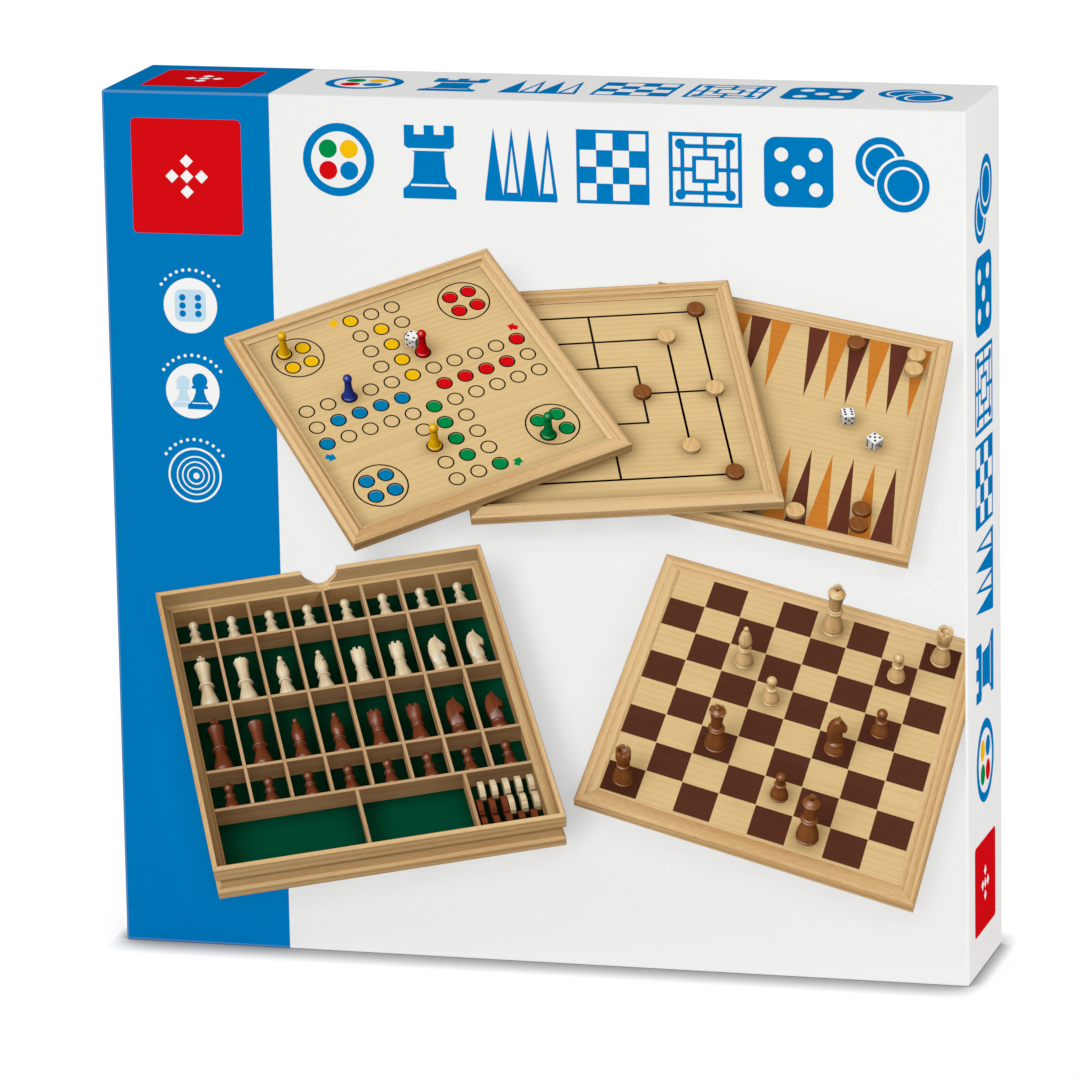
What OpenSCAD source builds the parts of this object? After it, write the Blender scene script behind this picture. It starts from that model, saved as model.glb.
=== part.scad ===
// Games compendium box: a printed carton with a full-depth lid, and the wooden set in it.
// X runs to the right, the printed front faces -Y, Z is up, and the origin is the middle
// of the bottom. Flat pieces are drawn lying face up, with Z as their thickness, and
// upright() then stands them in the carton with their faces to the front.

/* [Carton] */
// Thickness of the folded board
card_t = 2; // [1.5:0.1:2.5]
// Gap between lid and base, on each side
lid_gap = 0.5; // [0.3:0.1:1]
// Gap between base and wooden case, on each side
case_gap = 1.5; // [1:0.5:3]
// Depth of the closed carton, front to back
carton_depth = 60; // [60:1:70]
// Rounding of the folded edges
fold_r = 0.9; // [0.4:0.1:1.2]
// How far the lid's rim and the base's rim stop short
rim_short = 0.5; // [0.3:0.1:0.6]

/* [Wooden case] */
// Outer side of the square case
case_side = 310; // [308:1:320]
// Height of the case's rails
case_h = 45; // [45:1:48]
// Width of the rails round the compartments
rail_w = 12; // [11:0.5:14]
// Height of the ledge that carries the boards
ledge_h = 28; // [28:0.5:29]
// Depth of the finger cove outside
cove_depth = 4; // [2:0.5:4]
// Thickness of the plywood floor
floor_t = 4; // [3:0.5:4]
// Thickness of the felt
felt_t = 1; // [0.8:0.1:1]
// Width of the thumb notch at the rim
notch_w = 34; // [28:1:40]

/* [Compartments] */
// Thickness of a divider
divider_t = 3; // [2.5:0.5:3]
// Height of a divider
divider_h = 22; // [18:1:22]
// Length of a compartment for a pawn
pawn_row = 38; // [36:1:38]
// Length of a compartment for a larger chessman
major_row = 69; // [68:1:69]
// Length of the section for draughts
draught_section = 60; // [58:1:64]
// Length of the section for ludo pawns
ludo_section = 126; // [125:1:130]

/* [Boards] */
// Outer side of a board
board_side = 300; // [299:1:300]
// Thickness of a board's rails
board_t = 13; // [13:0.5:13]
// Width of a board's rails
board_rail = 18; // [18:1:20]
// Bevel along a board's outer edges
board_bevel = 1.6; // [1:0.2:2]

/* [Chessmen] */
// Height of a king
king_h = 65; // [60:1:66]
// Foot of a king or queen
king_d = 20; // [19:0.5:21]
// Height of a queen
queen_h = 56; // [52:1:58]
// Height of a bishop
bishop_h = 50; // [46:1:52]
// Height of a knight
knight_h = 47; // [44:1:48]
// Height of a rook
rook_h = 43; // [40:1:44]
// Foot of a bishop, knight or rook
minor_d = 18; // [17:0.5:19]
// Height of a pawn
pawn_h = 32; // [28:1:34]
// Foot of a pawn
pawn_d = 16; // [14:0.5:17]

/* [Counters] */
// Diameter of a draught
draught_d = 18.2; // [17:0.2:18.6]
// Thickness of a draught
draught_t = 5.5; // [4.5:0.5:5.5]
// Height of a ludo pawn
ludo_h = 29.8; // [26:0.2:30]
// Foot of a ludo pawn
ludo_d = 13.6; // [12:0.2:13.6]
// Side of a die
die_side = 12.5; // [10:0.5:14]

/* [Hidden] */
sides = ["top", "bottom", "left", "right"];
turn_angles = [180, 0, -90, 90];      // the same four sides of a frame, turned from the bottom
men = ["king", "queen", "bishops", "knights", "rooks", "pawns"];
case_rails = [for (side = sides) str("case_rail_", side)];
chess_rails = [for (side = sides) str("chess_ludo_rail_", side)];
mill_rails = [for (side = sides) str("mill_backgammon_rail_", side)];
row_dividers = [for (i = [1:4]) str("row_divider_", i)];
column_dividers = [for (i = [1:7]) str("column_divider_", i)];
section_dividers = ["section_divider_1", "section_divider_2"];
light_men = [for (man = men) str("light_", man)];
dark_men = [for (man = men) str("dark_", man)];

eps = 0.01;
over = 1;               // a cut reaches past the surface by this
turn_fn = 48;           // facets a turn, on round pieces
fold_fn = 24;           // and on folded card and paper

// carton
base_side = case_side + 2 * case_gap + 2 * card_t;
carton_side = base_side + 2 * lid_gap + 2 * card_t;
back_y = carton_depth / 2;
case_y = back_y - card_t;             // the case's back lies on the base's panel
base_z = card_t + base_side / 2;      // the base stands on the lid's lower wall
case_z = 2 * card_t + case_side / 2;  // the case stands on the base's lower wall

// case
rim_gap = 0.5;                        // between the boards and the case's rim
rim_w = (case_side - board_side) / 2 - rim_gap;
inner = case_side - 2 * rail_w;
floor_inset = 7;                      // the floor lies in a rebate this far in
cove_low = 10;
cove_high = 29;
rim_round = 1;
edge_round = 1.5;
divider_z = floor_t + felt_t;
notch_floor = ledge_h - 2;

// compartments
columns = 8;
pitch = (inner + divider_t) / columns;
row_sizes = [pawn_row, major_row, major_row, pawn_row];
counter_row = inner - pawn_row * 2 - major_row * 2 - 4 * divider_t;
slot_gap = 0.1;
man_z = divider_z + divider_h / 2;    // axis of the chessmen, over the case's back
section_x = [-inner / 2 + ludo_section, inner / 2 - draught_section - divider_t];

// boards
field = board_side - 2 * board_rail;
groove_depth = 4;
tongue_t = 3;
fit_gap = 0.15;
flush_drop = 0.5;                     // the chess field lies this far under its rails
recess = 4.5;                         // the other three fields lie this deep
cove_w = 5.5;
chess_panel_t = board_t - flush_drop - recess;
mill_panel_t = board_t - 2 * recess;
field_round = 0.8;                    // along the chess side's inner edge
mill_z = ledge_h;
chess_z = ledge_h + board_t;

// leaflet
leaflet_w = 148;
leaflet_h = 210;
leaflet_t = 1.4;
leaf_t = 0.5;
leaflet_gap = 0.2;
leaflet_z = ledge_h + 2 * board_t + leaflet_gap;

// counters
stack_gap = 0.1;
draughts_in_roll = 10;
roll_gap = 2;                         // between the draughts and their divider
draught_round = 0.8;                  // along a draught's edges
ludo_round = 0.6;                     // along the edge of a ludo pawn's foot
foot_gap = 1;                         // between the ludo pawns and the case
ludo_gap = 0.7;                       // between one ludo pawn and the next

wood_light = "burlywood";
wood_dark = "saddlebrown";

function sum(list, count) = count == 0 ? 0 : list[count - 1] + sum(list, count - 1);
function row_top(i) = inner / 2 - sum(row_sizes, i) - i * divider_t;
function column_x(k) = (k - (columns - 1) / 2) * pitch;
function arc(x, y, r, from, to, steps) =
    [for (i = [0:steps]) let (a = from + (to - from) * i / steps) [x + r * cos(a), y + r * sin(a)]];
// A stem that narrows above the foot and then rises almost straight
function stem(r0, z0, r1, z1, steps) =
    [for (i = [0:steps]) let (t = i / steps) [r1 + (r0 - r1) * pow(1 - t, 1.5), z0 + (z1 - z0) * t]];

// Stands a flat drawing up, its lower face at y and its middle at height z
module upright(y, z) {
    translate([0, y, z]) rotate([90, 0, 0]) children();
}

// ---- carton ----

module rounded_square(side, r) {
    square([side - 2 * r, side], center = true);
    square([side, side - 2 * r], center = true);
    for (x = [-1, 1], y = [-1, 1])
        translate([x * (side / 2 - r), y * (side / 2 - r)]) circle(r, $fn = fold_fn);
}

// One side view of a folded tray: rounded at the panel's folds, square at the rim
module tray_side(side, depth, r) {
    translate([-side / 2, r]) square([side, depth - r]);
    translate([-side / 2 + r, 0]) square([side - 2 * r, 2 * r]);
    for (x = [-1, 1]) translate([x * (side / 2 - r), r]) circle(r, $fn = fold_fn);
}

module folded_tray(side, depth, r) {
    difference() {
        intersection() {
            linear_extrude(depth) rounded_square(side, r);
            translate([0, side / 2, 0]) rotate([90, 0, 0]) linear_extrude(side)
                tray_side(side, depth, r);
            rotate([0, 0, 90]) translate([0, side / 2, 0]) rotate([90, 0, 0])
                linear_extrude(side) tray_side(side, depth, r);
        }
        translate([0, 0, card_t + depth / 2])
            cube([side - 2 * card_t, side - 2 * card_t, depth], center = true);
    }
}

module lid() {
    color("whitesmoke") translate([0, 0, carton_side / 2]) rotate([-90, 0, 0])
        translate([0, 0, -back_y]) folded_tray(carton_side, carton_depth - rim_short, fold_r);
}

module base() {
    color("gainsboro") upright(back_y, base_z)
        folded_tray(base_side, carton_depth - card_t - 2 * rim_short, fold_r);
}

// A sheet folded once: two leaves joined by a round fold at the left
module rules_leaflet() {
    fold = leaflet_t / 2;
    color("white") upright(case_y, 2 * card_t + leaflet_h / 2)
        translate([0, leaflet_h / 2, leaflet_z]) rotate([90, 0, 0]) linear_extrude(leaflet_h)
            difference() {
                union() {
                    translate([-leaflet_w / 2 + fold, 0]) square([leaflet_w - fold, leaflet_t]);
                    translate([-leaflet_w / 2 + fold, fold]) circle(fold, $fn = fold_fn);
                }
                translate([-leaflet_w / 2 + fold, leaf_t])
                    square([leaflet_w, leaflet_t - 2 * leaf_t]);
            }
}

// ---- frames of mitred rails ----

// The rail along the bottom edge of a square frame. Its outline is drawn with X as the
// distance in from the frame's outer edge and Y as the height.
module mitred_rail(side, width, outline) {
    intersection() {
        translate([-side / 2, -side / 2, 0]) rotate([90, 0, 90]) linear_extrude(side)
            polygon(outline);
        translate([0, 0, -over]) linear_extrude(case_h + 2 * over)
            polygon([[-side / 2, -side / 2], [side / 2, -side / 2],
                     [side / 2 - width, -side / 2 + width], [-side / 2 + width, -side / 2 + width]]);
    }
}

// ---- wooden case ----

cove_half = (cove_high - cove_low) / 2;
cove_r = (cove_half * cove_half + cove_depth * cove_depth) / (2 * cove_depth);
cove_a = asin(cove_half / cove_r);
case_outline = concat(
    [[floor_inset, 0], [floor_inset, floor_t], [rail_w, floor_t]],
    arc(rail_w - edge_round, ledge_h - edge_round, edge_round, 0, 90, 4),
    [[rim_w, ledge_h]],
    arc(rim_w - rim_round, case_h - rim_round, rim_round, 0, 90, 4),
    arc(rim_round, case_h - rim_round, rim_round, 90, 180, 4),
    arc(cove_depth - cove_r, (cove_low + cove_high) / 2, cove_r, cove_a, -cove_a, 16),
    arc(edge_round, edge_round, edge_round, 180, 270, 4));

// The thumb notch: half a circle, stretched to the depth between rim and ledge
module notch() {
    stretch = (case_h - notch_floor) / (notch_w / 2);
    translate([0, case_side / 2 + over, case_h]) rotate([90, 0, 0])
        linear_extrude(rail_w + 2 * over) {
            scale([1, stretch]) circle(d = notch_w, $fn = 2 * turn_fn);
            translate([-notch_w / 2, 0]) square([notch_w, over]);
        }
}

module case_rail(i) {
    color(wood_light) upright(case_y, case_z) difference() {
        rotate([0, 0, turn_angles[i]]) mitred_rail(case_side, rail_w, case_outline);
        if (i == 0) notch();
    }
}

module case_floor() {
    side = case_side - 2 * floor_inset;
    color(wood_light) upright(case_y, case_z)
        translate([-side / 2, -side / 2, 0]) cube([side, side, floor_t]);
}

module felt_lining() {
    color("darkgreen") upright(case_y, case_z)
        translate([-inner / 2, -inner / 2, floor_t]) cube([inner, inner, felt_t]);
}

// Rows are halved from above where they cross the columns
module row_divider(i) {
    z_half = divider_z + divider_h / 2;
    color(wood_light) upright(case_y, case_z) difference() {
        translate([-inner / 2, row_top(i + 1), divider_z]) cube([inner, divider_t, divider_h]);
        if (i < 3)
            for (k = [1:columns - 1])
                translate([(k - columns / 2) * pitch - divider_t / 2 - slot_gap,
                           row_top(i + 1) - over, z_half - slot_gap])
                    cube([divider_t + 2 * slot_gap, divider_t + 2 * over, divider_h]);
    }
}

// Columns run from the top rail to the last row and are halved from below
module column_divider(k) {
    low = row_top(4) + divider_t;
    z_half = divider_z + divider_h / 2;
    color(wood_light) upright(case_y, case_z)
        translate([(k + 1 - columns / 2) * pitch - divider_t / 2, 0, 0]) difference() {
            translate([0, low, divider_z]) cube([divider_t, inner / 2 - low, divider_h]);
            for (i = [0:2])
                translate([-over, row_top(i + 1) - slot_gap, divider_z - over])
                    cube([divider_t + 2 * over, divider_t + 2 * slot_gap, divider_h / 2 + over]);
        }
}

module section_divider(i) {
    color(wood_light) upright(case_y, case_z)
        translate([section_x[i], -inner / 2, divider_z]) cube([divider_t, counter_row, divider_h]);
}

// ---- boards ----

groove_in = board_rail - groove_depth;
tongue_z = (board_t - tongue_t) / 2;
cove_drop = recess - 1;
// A coved moulding that falls from the rail's top to the field's recess
function inner_cove(z, dir) =
    [for (i = [0:8]) let (a = 90 * i / 8)
        [board_rail - cove_w * cos(a), z - dir * cove_drop * sin(a)]];
outer_edge = [[board_bevel * 1.5, board_t], [0, board_t - board_bevel],
    [0, board_bevel], [board_bevel * 1.5, 0]];
groove = [[board_rail, tongue_z], [groove_in, tongue_z],
    [groove_in, tongue_z + tongue_t], [board_rail, tongue_z + tongue_t]];
mill_outline = concat(outer_edge, inner_cove(0, -1), groove,
    [for (i = [0:8]) inner_cove(board_t, 1)[8 - i]]);
chess_outline = concat(outer_edge, inner_cove(0, -1), groove,
    arc(board_rail - field_round, board_t - field_round, field_round, 0, 90, 4));

module board_rail_piece(i, height, outline) {
    color(wood_light) upright(case_y, case_z - rim_gap) translate([0, 0, height])
        rotate([0, 0, turn_angles[i]]) mitred_rail(board_side, board_rail, outline);
}

// A thick field with a tongue all round, which sits in the rails' groove
module board_panel(height, low, thick) {
    side = field - 2 * fit_gap;
    tongue = field + 2 * groove_depth - 2 * fit_gap;
    color(wood_light) upright(case_y, case_z - rim_gap) translate([0, 0, height]) {
        translate([-side / 2, -side / 2, low]) cube([side, side, thick]);
        translate([-tongue / 2, -tongue / 2, tongue_z + fit_gap])
            cube([tongue, tongue, tongue_t - 2 * fit_gap]);
    }
}

module chess_ludo_panel() { board_panel(chess_z, recess, chess_panel_t); }
module mill_backgammon_panel() { board_panel(mill_z, recess, mill_panel_t); }

// ---- chessmen ----

// The foot that all chessmen share: a plinth with a groove over it
function foot(r) = [[0, 0], [r, 0], [r, 0.22 * r], [0.9 * r, 0.32 * r]];
// A bell that swells over the foot and then narrows to the neck
function skirt(r, neck_r, neck) =
    [for (i = [0:7]) let (t = i / 7, fall = 0.35 * t + 0.65 * t * t * (3 - 2 * t))
        [neck_r + (0.97 * r - neck_r) * (1 - fall), 0.42 * r + (neck - 0.42 * r) * t]];
// A collar under the head: a narrow disc over a wide one
function collar(r, wide, z) =
    [[wide - 0.1 * r, z], [wide, z + 0.08 * r], [wide, z + 0.18 * r], [0.8 * wide, z + 0.28 * r],
     [0.8 * wide, z + 0.4 * r], [0.66 * wide, z + 0.46 * r]];

module turned(outline) {
    rotate_extrude($fn = turn_fn) polygon(outline);
}

module king() {
    r = king_d / 2;
    body = king_h - 0.95 * r;
    neck = 0.47 * body;
    turned(concat(foot(r), skirt(r, 0.5 * r, neck), collar(r, 0.76 * r, neck),
        [[0.52 * r, neck + 0.8 * r], [0.77 * r, body - 0.5 * r], [0.74 * r, body - 0.34 * r],
         [0.52 * r, body - 0.12 * r], [0.18 * r, body], [0, body]]));
    translate([0, 0, king_h - 0.5 * r]) {
        cube([0.26 * r, 0.2 * r, 1.0 * r], center = true);
        cube([0.66 * r, 0.2 * r, 0.26 * r], center = true);
    }
}

module queen() {
    r = king_d / 2;
    body = queen_h - 0.5 * r;
    neck = 0.46 * body;
    turned(concat(foot(r), skirt(r, 0.48 * r, neck), collar(r, 0.74 * r, neck),
        [[0.5 * r, neck + 0.9 * r], [0.56 * r, body - 0.9 * r],
         [0.74 * r, body - 0.12 * r], [0.6 * r, body], [0.46 * r, body - 0.14 * r],
         [0.18 * r, body + 0.06 * r]],
        arc(0, queen_h - 0.24 * r, 0.24 * r, -30, 90, 5)));
}

module bishop() {
    r = minor_d / 2;
    body = bishop_h - 0.5 * r;
    neck = 0.42 * body;
    difference() {
        turned(concat(foot(r), skirt(r, 0.48 * r, neck), collar(r, 0.7 * r, neck),
            [[0.58 * r, neck + 0.8 * r], [0.68 * r, neck + 1.25 * r], [0.62 * r, neck + 1.75 * r],
             [0.4 * r, body - 0.35 * r], [0.2 * r, body - 0.03 * r]],
            arc(0, bishop_h - 0.27 * r, 0.27 * r, -48, 90, 5)));
        translate([0.36 * r, 0, neck + 1.95 * r]) rotate([0, 35, 0])
            cube([0.12 * r, 2 * r, 0.8 * r], center = true);
    }
}

module rook() {
    r = minor_d / 2;
    neck = 0.5 * rook_h;
    difference() {
        turned(concat(foot(r), skirt(r, 0.54 * r, neck),
            [[0.68 * r, neck + 0.06 * r], [0.68 * r, neck + 0.2 * r], [0.54 * r, neck + 0.28 * r],
             [0.58 * r, neck + 0.6 * r], [0.68 * r, neck + 1.0 * r], [0.74 * r, neck + 1.1 * r],
             [0.74 * r, rook_h], [0.48 * r, rook_h], [0.48 * r, rook_h - 0.4 * r],
             [0, rook_h - 0.4 * r]]));
        for (a = [0, 60, 120])
            rotate([0, 0, a]) translate([0, 0, rook_h])
                cube([2 * r, 0.2 * r, 0.5 * r], center = true);
    }
}

// The carved head faces +X: chest, throat, muzzle, forehead, ears and mane
module knight() {
    r = minor_d / 2;
    neck = 0.3 * knight_h;
    head = knight_h - neck;
    turned(concat(foot(r), skirt(r, 0.7 * r, neck - 0.35 * r),
        [[0.78 * r, neck - 0.25 * r], [0.78 * r, neck - 0.1 * r], [0.68 * r, neck], [0, neck]]));
    intersection() {
        translate([0, 0.42 * r, neck - eps]) rotate([90, 0, 0]) linear_extrude(0.84 * r)
            polygon([[-0.66 * r, 0], [0.62 * r, 0], [0.66 * r, 0.2 * head], [0.3 * r, 0.44 * head],
                     [0.86 * r, 0.42 * head], [0.98 * r, 0.56 * head], [0.5 * r, 0.84 * head],
                     [0.24 * r, 0.9 * head], [0.1 * r, head], [-0.16 * r, 0.9 * head],
                     [-0.56 * r, 0.7 * head], [-0.82 * r, 0.36 * head]]);
        cylinder(r = r, h = knight_h, $fn = turn_fn);
    }
}

module pawn() {
    r = pawn_d / 2;
    ball = 0.58 * r;
    neck = 0.5 * pawn_h;
    turned(concat(foot(r), skirt(r, 0.44 * r, neck),
        [[0.66 * r, neck + 0.06 * r], [0.66 * r, neck + 0.26 * r], [0.46 * r, neck + 0.36 * r],
         [0.4 * r, neck + 0.6 * r]],
        arc(0, pawn_h - ball, ball, -50, 90, 8)));
}

// Stands a chessman in a column's compartment, on the divider or rail below it
module in_compartment(column, row) {
    translate([column_x(column), case_y - man_z, case_z + row_top(row) - row_sizes[row]])
        children();
}

// The men of one kind. From the left, a row holds the king, the queen, the bishops, the
// rooks and the knights, and the pawns fill a row of their own.
module men_of(kind, tone, major, minor) {
    color(tone) {
        if (kind == "king") in_compartment(0, major) king();
        if (kind == "queen") in_compartment(1, major) queen();
        if (kind == "bishops") for (k = [2, 3]) in_compartment(k, major) bishop();
        if (kind == "rooks") for (k = [4, 5]) in_compartment(k, major) rook();
        if (kind == "knights") for (k = [6, 7]) in_compartment(k, major) knight();
        if (kind == "pawns") for (k = [0:columns - 1]) in_compartment(k, minor) pawn();
    }
}

// ---- counters ----

section_low = case_z - inner / 2;     // height of the last row's floor
draught_x = inner / 2 - draught_section + roll_gap;

module draught() {
    r = draught_d / 2;
    e = draught_round;
    turned(concat([[0, 0]], arc(r - e, e, e, -90, 0, 4), arc(r - e, draught_t - e, e, 0, 90, 4),
        [[0, draught_t]]));
}

// Draughts lie in rolls along X, one roll on another, and are counted from the bottom
module draughts_from(first, last) {
    for (i = [first:last])
        translate([draught_x + (i % draughts_in_roll) * (draught_t + stack_gap),
                   case_y - man_z,
                   section_low + draught_d / 2
                       + floor(i / draughts_in_roll) * (draught_d + stack_gap)])
            rotate([0, 90, 0]) draught();
}

module light_draughts() { color(wood_light) draughts_from(15, 29); }
module dark_draughts() { color(wood_dark) draughts_from(0, 14); }

module ludo_pawn() {
    r = ludo_d / 2;
    e = ludo_round;
    ball = 0.66 * r;
    neck = ludo_h - 1.67 * ball;
    turned(concat([[0, 0], [r - e, 0], [r, e], [r, 4 * e]],
        stem(0.9 * r, 5 * e, 0.49 * r, neck, 6), arc(0, ludo_h - ball, ball, -42, 90, 8)));
}

// Four pawns of one colour lie in a row along X, and the four rows lie one on another
module ludo_row(tone, tier) {
    color(tone) for (i = [0:3])
        translate([-inner / 2 + foot_gap + i * (ludo_h + ludo_gap), case_y - man_z,
                   section_low + ludo_d / 2 + tier * (ludo_d + stack_gap)])
            rotate([0, 90, 0]) ludo_pawn();
}

module die() {
    intersection() {
        cube(die_side, center = true);
        sphere(0.78 * die_side, $fn = turn_fn);
    }
}

module dice() {
    middle = (section_x[0] + divider_t + section_x[1]) / 2;
    color("white") for (i = [-1, 1])
        translate([middle + i * 0.75 * die_side, case_y - man_z, section_low + die_side / 2])
            die();
}

lid();
base();
rules_leaflet();
for (i = [0:3]) case_rail(i);
case_floor();
felt_lining();
for (i = [0:3]) row_divider(i);
for (i = [0:6]) column_divider(i);
for (i = [0:1]) section_divider(i);
for (i = [0:3]) board_rail_piece(i, chess_z, chess_outline);
chess_ludo_panel();
for (i = [0:3]) board_rail_piece(i, mill_z, mill_outline);
mill_backgammon_panel();
for (i = [0:5]) men_of(men[i], wood_light, 1, 0);
for (i = [0:5]) men_of(men[i], wood_dark, 2, 3);
light_draughts();
dark_draughts();
ludo_row("crimson", 0);  // red_pawns
ludo_row("royalblue", 1);  // blue_pawns
ludo_row("gold", 2);  // yellow_pawns
ludo_row("seagreen", 3);  // green_pawns
dice();
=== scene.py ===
# %% [markdown]
# # Games compendium box
# A flat square carton with a lid as deep as itself, and a wooden set of games inside.
# This first cell loads the measured model. Its pieces are the frame that every finish
# and every new piece is fitted to, so nothing here is placed by eye.

# %% Load the frame
import random
from math import atan2, cos, pi, radians, sin, sqrt

import bmesh
import bpy
from mathutils import Matrix, Vector
from mathutils.bvhtree import BVHTree


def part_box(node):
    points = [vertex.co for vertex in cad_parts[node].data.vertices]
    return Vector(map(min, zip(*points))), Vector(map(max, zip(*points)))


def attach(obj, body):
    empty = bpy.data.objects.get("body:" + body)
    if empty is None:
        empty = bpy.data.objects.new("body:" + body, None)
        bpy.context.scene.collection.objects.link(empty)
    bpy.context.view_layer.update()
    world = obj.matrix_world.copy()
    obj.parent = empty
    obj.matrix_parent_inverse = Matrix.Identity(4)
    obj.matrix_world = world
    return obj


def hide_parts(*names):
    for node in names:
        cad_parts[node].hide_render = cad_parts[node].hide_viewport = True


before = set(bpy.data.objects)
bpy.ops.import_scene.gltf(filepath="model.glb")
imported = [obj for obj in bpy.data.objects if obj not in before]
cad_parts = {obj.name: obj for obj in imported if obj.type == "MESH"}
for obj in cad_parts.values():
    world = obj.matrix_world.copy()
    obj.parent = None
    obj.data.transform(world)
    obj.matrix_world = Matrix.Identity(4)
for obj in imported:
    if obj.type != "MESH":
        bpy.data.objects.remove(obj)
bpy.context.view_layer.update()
MM = 0.001
lid_low, lid_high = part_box("lid")
SIDE = lid_high.x - lid_low.x
FRONT_Y = lid_low.y
print("carton side", round(SIDE / MM, 1), "mm, front face at y", round(FRONT_Y / MM, 1))

# %% [markdown]
# ## Short words
# What many cells do has a name here, so that they read like instructions at a bench:
# shift, turn or stretch a drawing, walk along an arc, gather the points of a mesh,
# ease an edge, cut across, lay ink on a face.

# %% Short words for common moves
def moved(x=0.0, y=0.0, z=0.0):
    return Matrix.Translation((x, y, z))


def spun(degrees, axis="Z"):
    return Matrix.Rotation(radians(degrees), 4, axis)


def sized(x, y, z=1.0):
    return Matrix.Diagonal((x, y, z, 1))


QUARTERS = [Matrix.Rotation(radians(90 * turn), 2) for turn in range(4)]


def arc(x, y, radius, start, end, steps):
    """Points along an arc, with the angles in degrees."""
    angles = [radians(start + (end - start) * i / steps) for i in range(steps + 1)]
    return [(x + radius * cos(a), y + radius * sin(a)) for a in angles]


def everything(mesh):
    return [*mesh.verts, *mesh.edges, *mesh.faces]


def all_of(faces):
    """Some faces with their points and edges."""
    return list({part for face in faces for part in (*face.verts, *face.edges)}) + faces


def new_verts(made):
    """The points that an operator has just made."""
    return [part for part in made["geom"] if isinstance(part, bmesh.types.BMVert)]


def edges_of(verts):
    return list({edge for vert in verts for edge in vert.link_edges})


def eased(mesh, edges, offset, segments=2, clamp=False):
    """Rounds edges off."""
    bmesh.ops.bevel(mesh, geom=edges, offset=offset, affect="EDGES", segments=segments,
                    profile=0.5, material=-1, clamp_overlap=clamp)


def cut_across(mesh, geom, place, normal, **options):
    return bmesh.ops.bisect_plane(mesh, geom=geom, plane_co=place, plane_no=normal, **options)


def paint(faces, layer, colour, share=0.0):
    """Writes a colour, and a fourth number, on every corner of the faces."""
    for face in faces:
        for loop in face.loops:
            loop[layer] = (*colour, share)


def into_scene(name, data):
    thing = bpy.data.objects.new(name, data)
    bpy.context.scene.collection.objects.link(thing)
    return thing


# %% [markdown]
# ## The camera
# The carton is seen a little from the right and from above, through a long lens, so
# its edges stay almost parallel. The view is given the way a photographer would say
# it: which way round, how high, how far, and how much the camera is rolled.

# %% Set up the camera
VIEW_AZIMUTH = 15.17
VIEW_ELEVATION = 12.55
VIEW_ROLL = -1.01
VIEW_DISTANCE = 8.235 * SIDE
aim = Vector((0.0069 * SIDE, FRONT_Y, 0.497 * SIDE))
back = spun(VIEW_AZIMUTH) @ spun(-VIEW_ELEVATION, "X") @ Vector((0, -1, 0))
camera_data = bpy.data.cameras.new("camera")
camera_data.lens = 242.5
camera_data.sensor_width = 36.0
camera_data.clip_start = 0.05
camera = into_scene("camera", camera_data)
camera.rotation_mode = "QUATERNION"
camera.rotation_quaternion = (-back).to_track_quat("-Z", "Y") @ spun(VIEW_ROLL).to_quaternion()
camera.location = aim + back * VIEW_DISTANCE
bpy.context.scene.camera = camera

# %% [markdown]
# ## Colours and recipes
# Print colours are written the way a designer reads them, as 0 to 255, and turned to
# the linear values that a renderer adds up. A material is a recipe: each step adds a
# node, wires it to earlier ones by name and hands on what comes out of it.

# %% Colour and node helpers
def tint(*levels):
    """A colour written 0 to 255, as linear values."""
    shares = [level / 255 for level in levels]
    return tuple(v / 12.92 if v <= 0.04045 else ((v + 0.055) / 1.055) ** 2.4 for v in shares)


def blend_colours(first, second, share):
    return tuple(a + (b - a) * share for a, b in zip(first, second))


class Recipe:
    def __init__(self, name):
        self.material = bpy.data.materials.new(name)
        self.material.use_nodes = True
        self.tree = self.material.node_tree
        self.surface = self.tree.nodes["Principled BSDF"]

    def add(self, kind, settings=None, **inputs):
        node = self.tree.nodes.new("ShaderNode" + kind)
        for key, value in (settings or {}).items():
            setattr(node, key, value)
        return self.feed(node, inputs)

    def feed(self, node, inputs):
        for key, value in inputs.items():
            socket = node.inputs[key.replace("_", " ")]
            if isinstance(value, bpy.types.NodeSocket):
                self.tree.links.new(value, socket)
            else:
                socket.default_value = (*value, 1) if socket.type == "RGBA" else value
        return node

    def out(self, kind, settings=None, **inputs):
        """The first output of a new node."""
        return self.add(kind, settings, **inputs).outputs[0]

    def noise(self, where, scale, detail, roughness=0.5):
        return self.out("TexNoise", Vector=where, Scale=scale, Detail=detail, Roughness=roughness)

    def between(self, value, low, high, **limits):
        return self.out("MapRange", Value=value, To_Min=low, To_Max=high, **limits)

    def mix(self, share, first, second, way="MIX"):
        return self.out("MixRGB", {"blend_type": way}, Fac=share, Color1=first, Color2=second)

    def bump(self, height, strength, distance):
        return self.out("Bump", Height=height, Strength=strength, Distance=distance)

    def steps(self, value, *stops):
        """A colour ramp: each stop is a place from 0 to 1 and a colour."""
        ramp = self.add("ValToRGB", Fac=value)
        elements = ramp.color_ramp.elements
        while len(elements) < len(stops):
            elements.new(0.5)
        for element, (place, colour) in zip(elements, stops):
            element.position = place
            element.color = (*colour, 1)
        return ramp.outputs["Color"]

    def finish(self, **inputs):
        self.feed(self.surface, inputs)
        return self.material


# %% [markdown]
# ## The studio
# The world is white to the camera, and to glossy rays so that lacquer reflects a white
# room. The light that falls on the carton is weaker than that: an even sky, and one
# broad lamp from the front right. A white face then comes out as white as its paper in
# front, a little darker at the right and darker still on top. The floor is pale for the
# light that bounces off it. To the camera it is mostly its own glow, which fades where
# something stands close and leaves a thin soft shadow along the foot of the carton. The
# fading gives way beyond the carton's sides, where it would be seen without slant.

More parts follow.
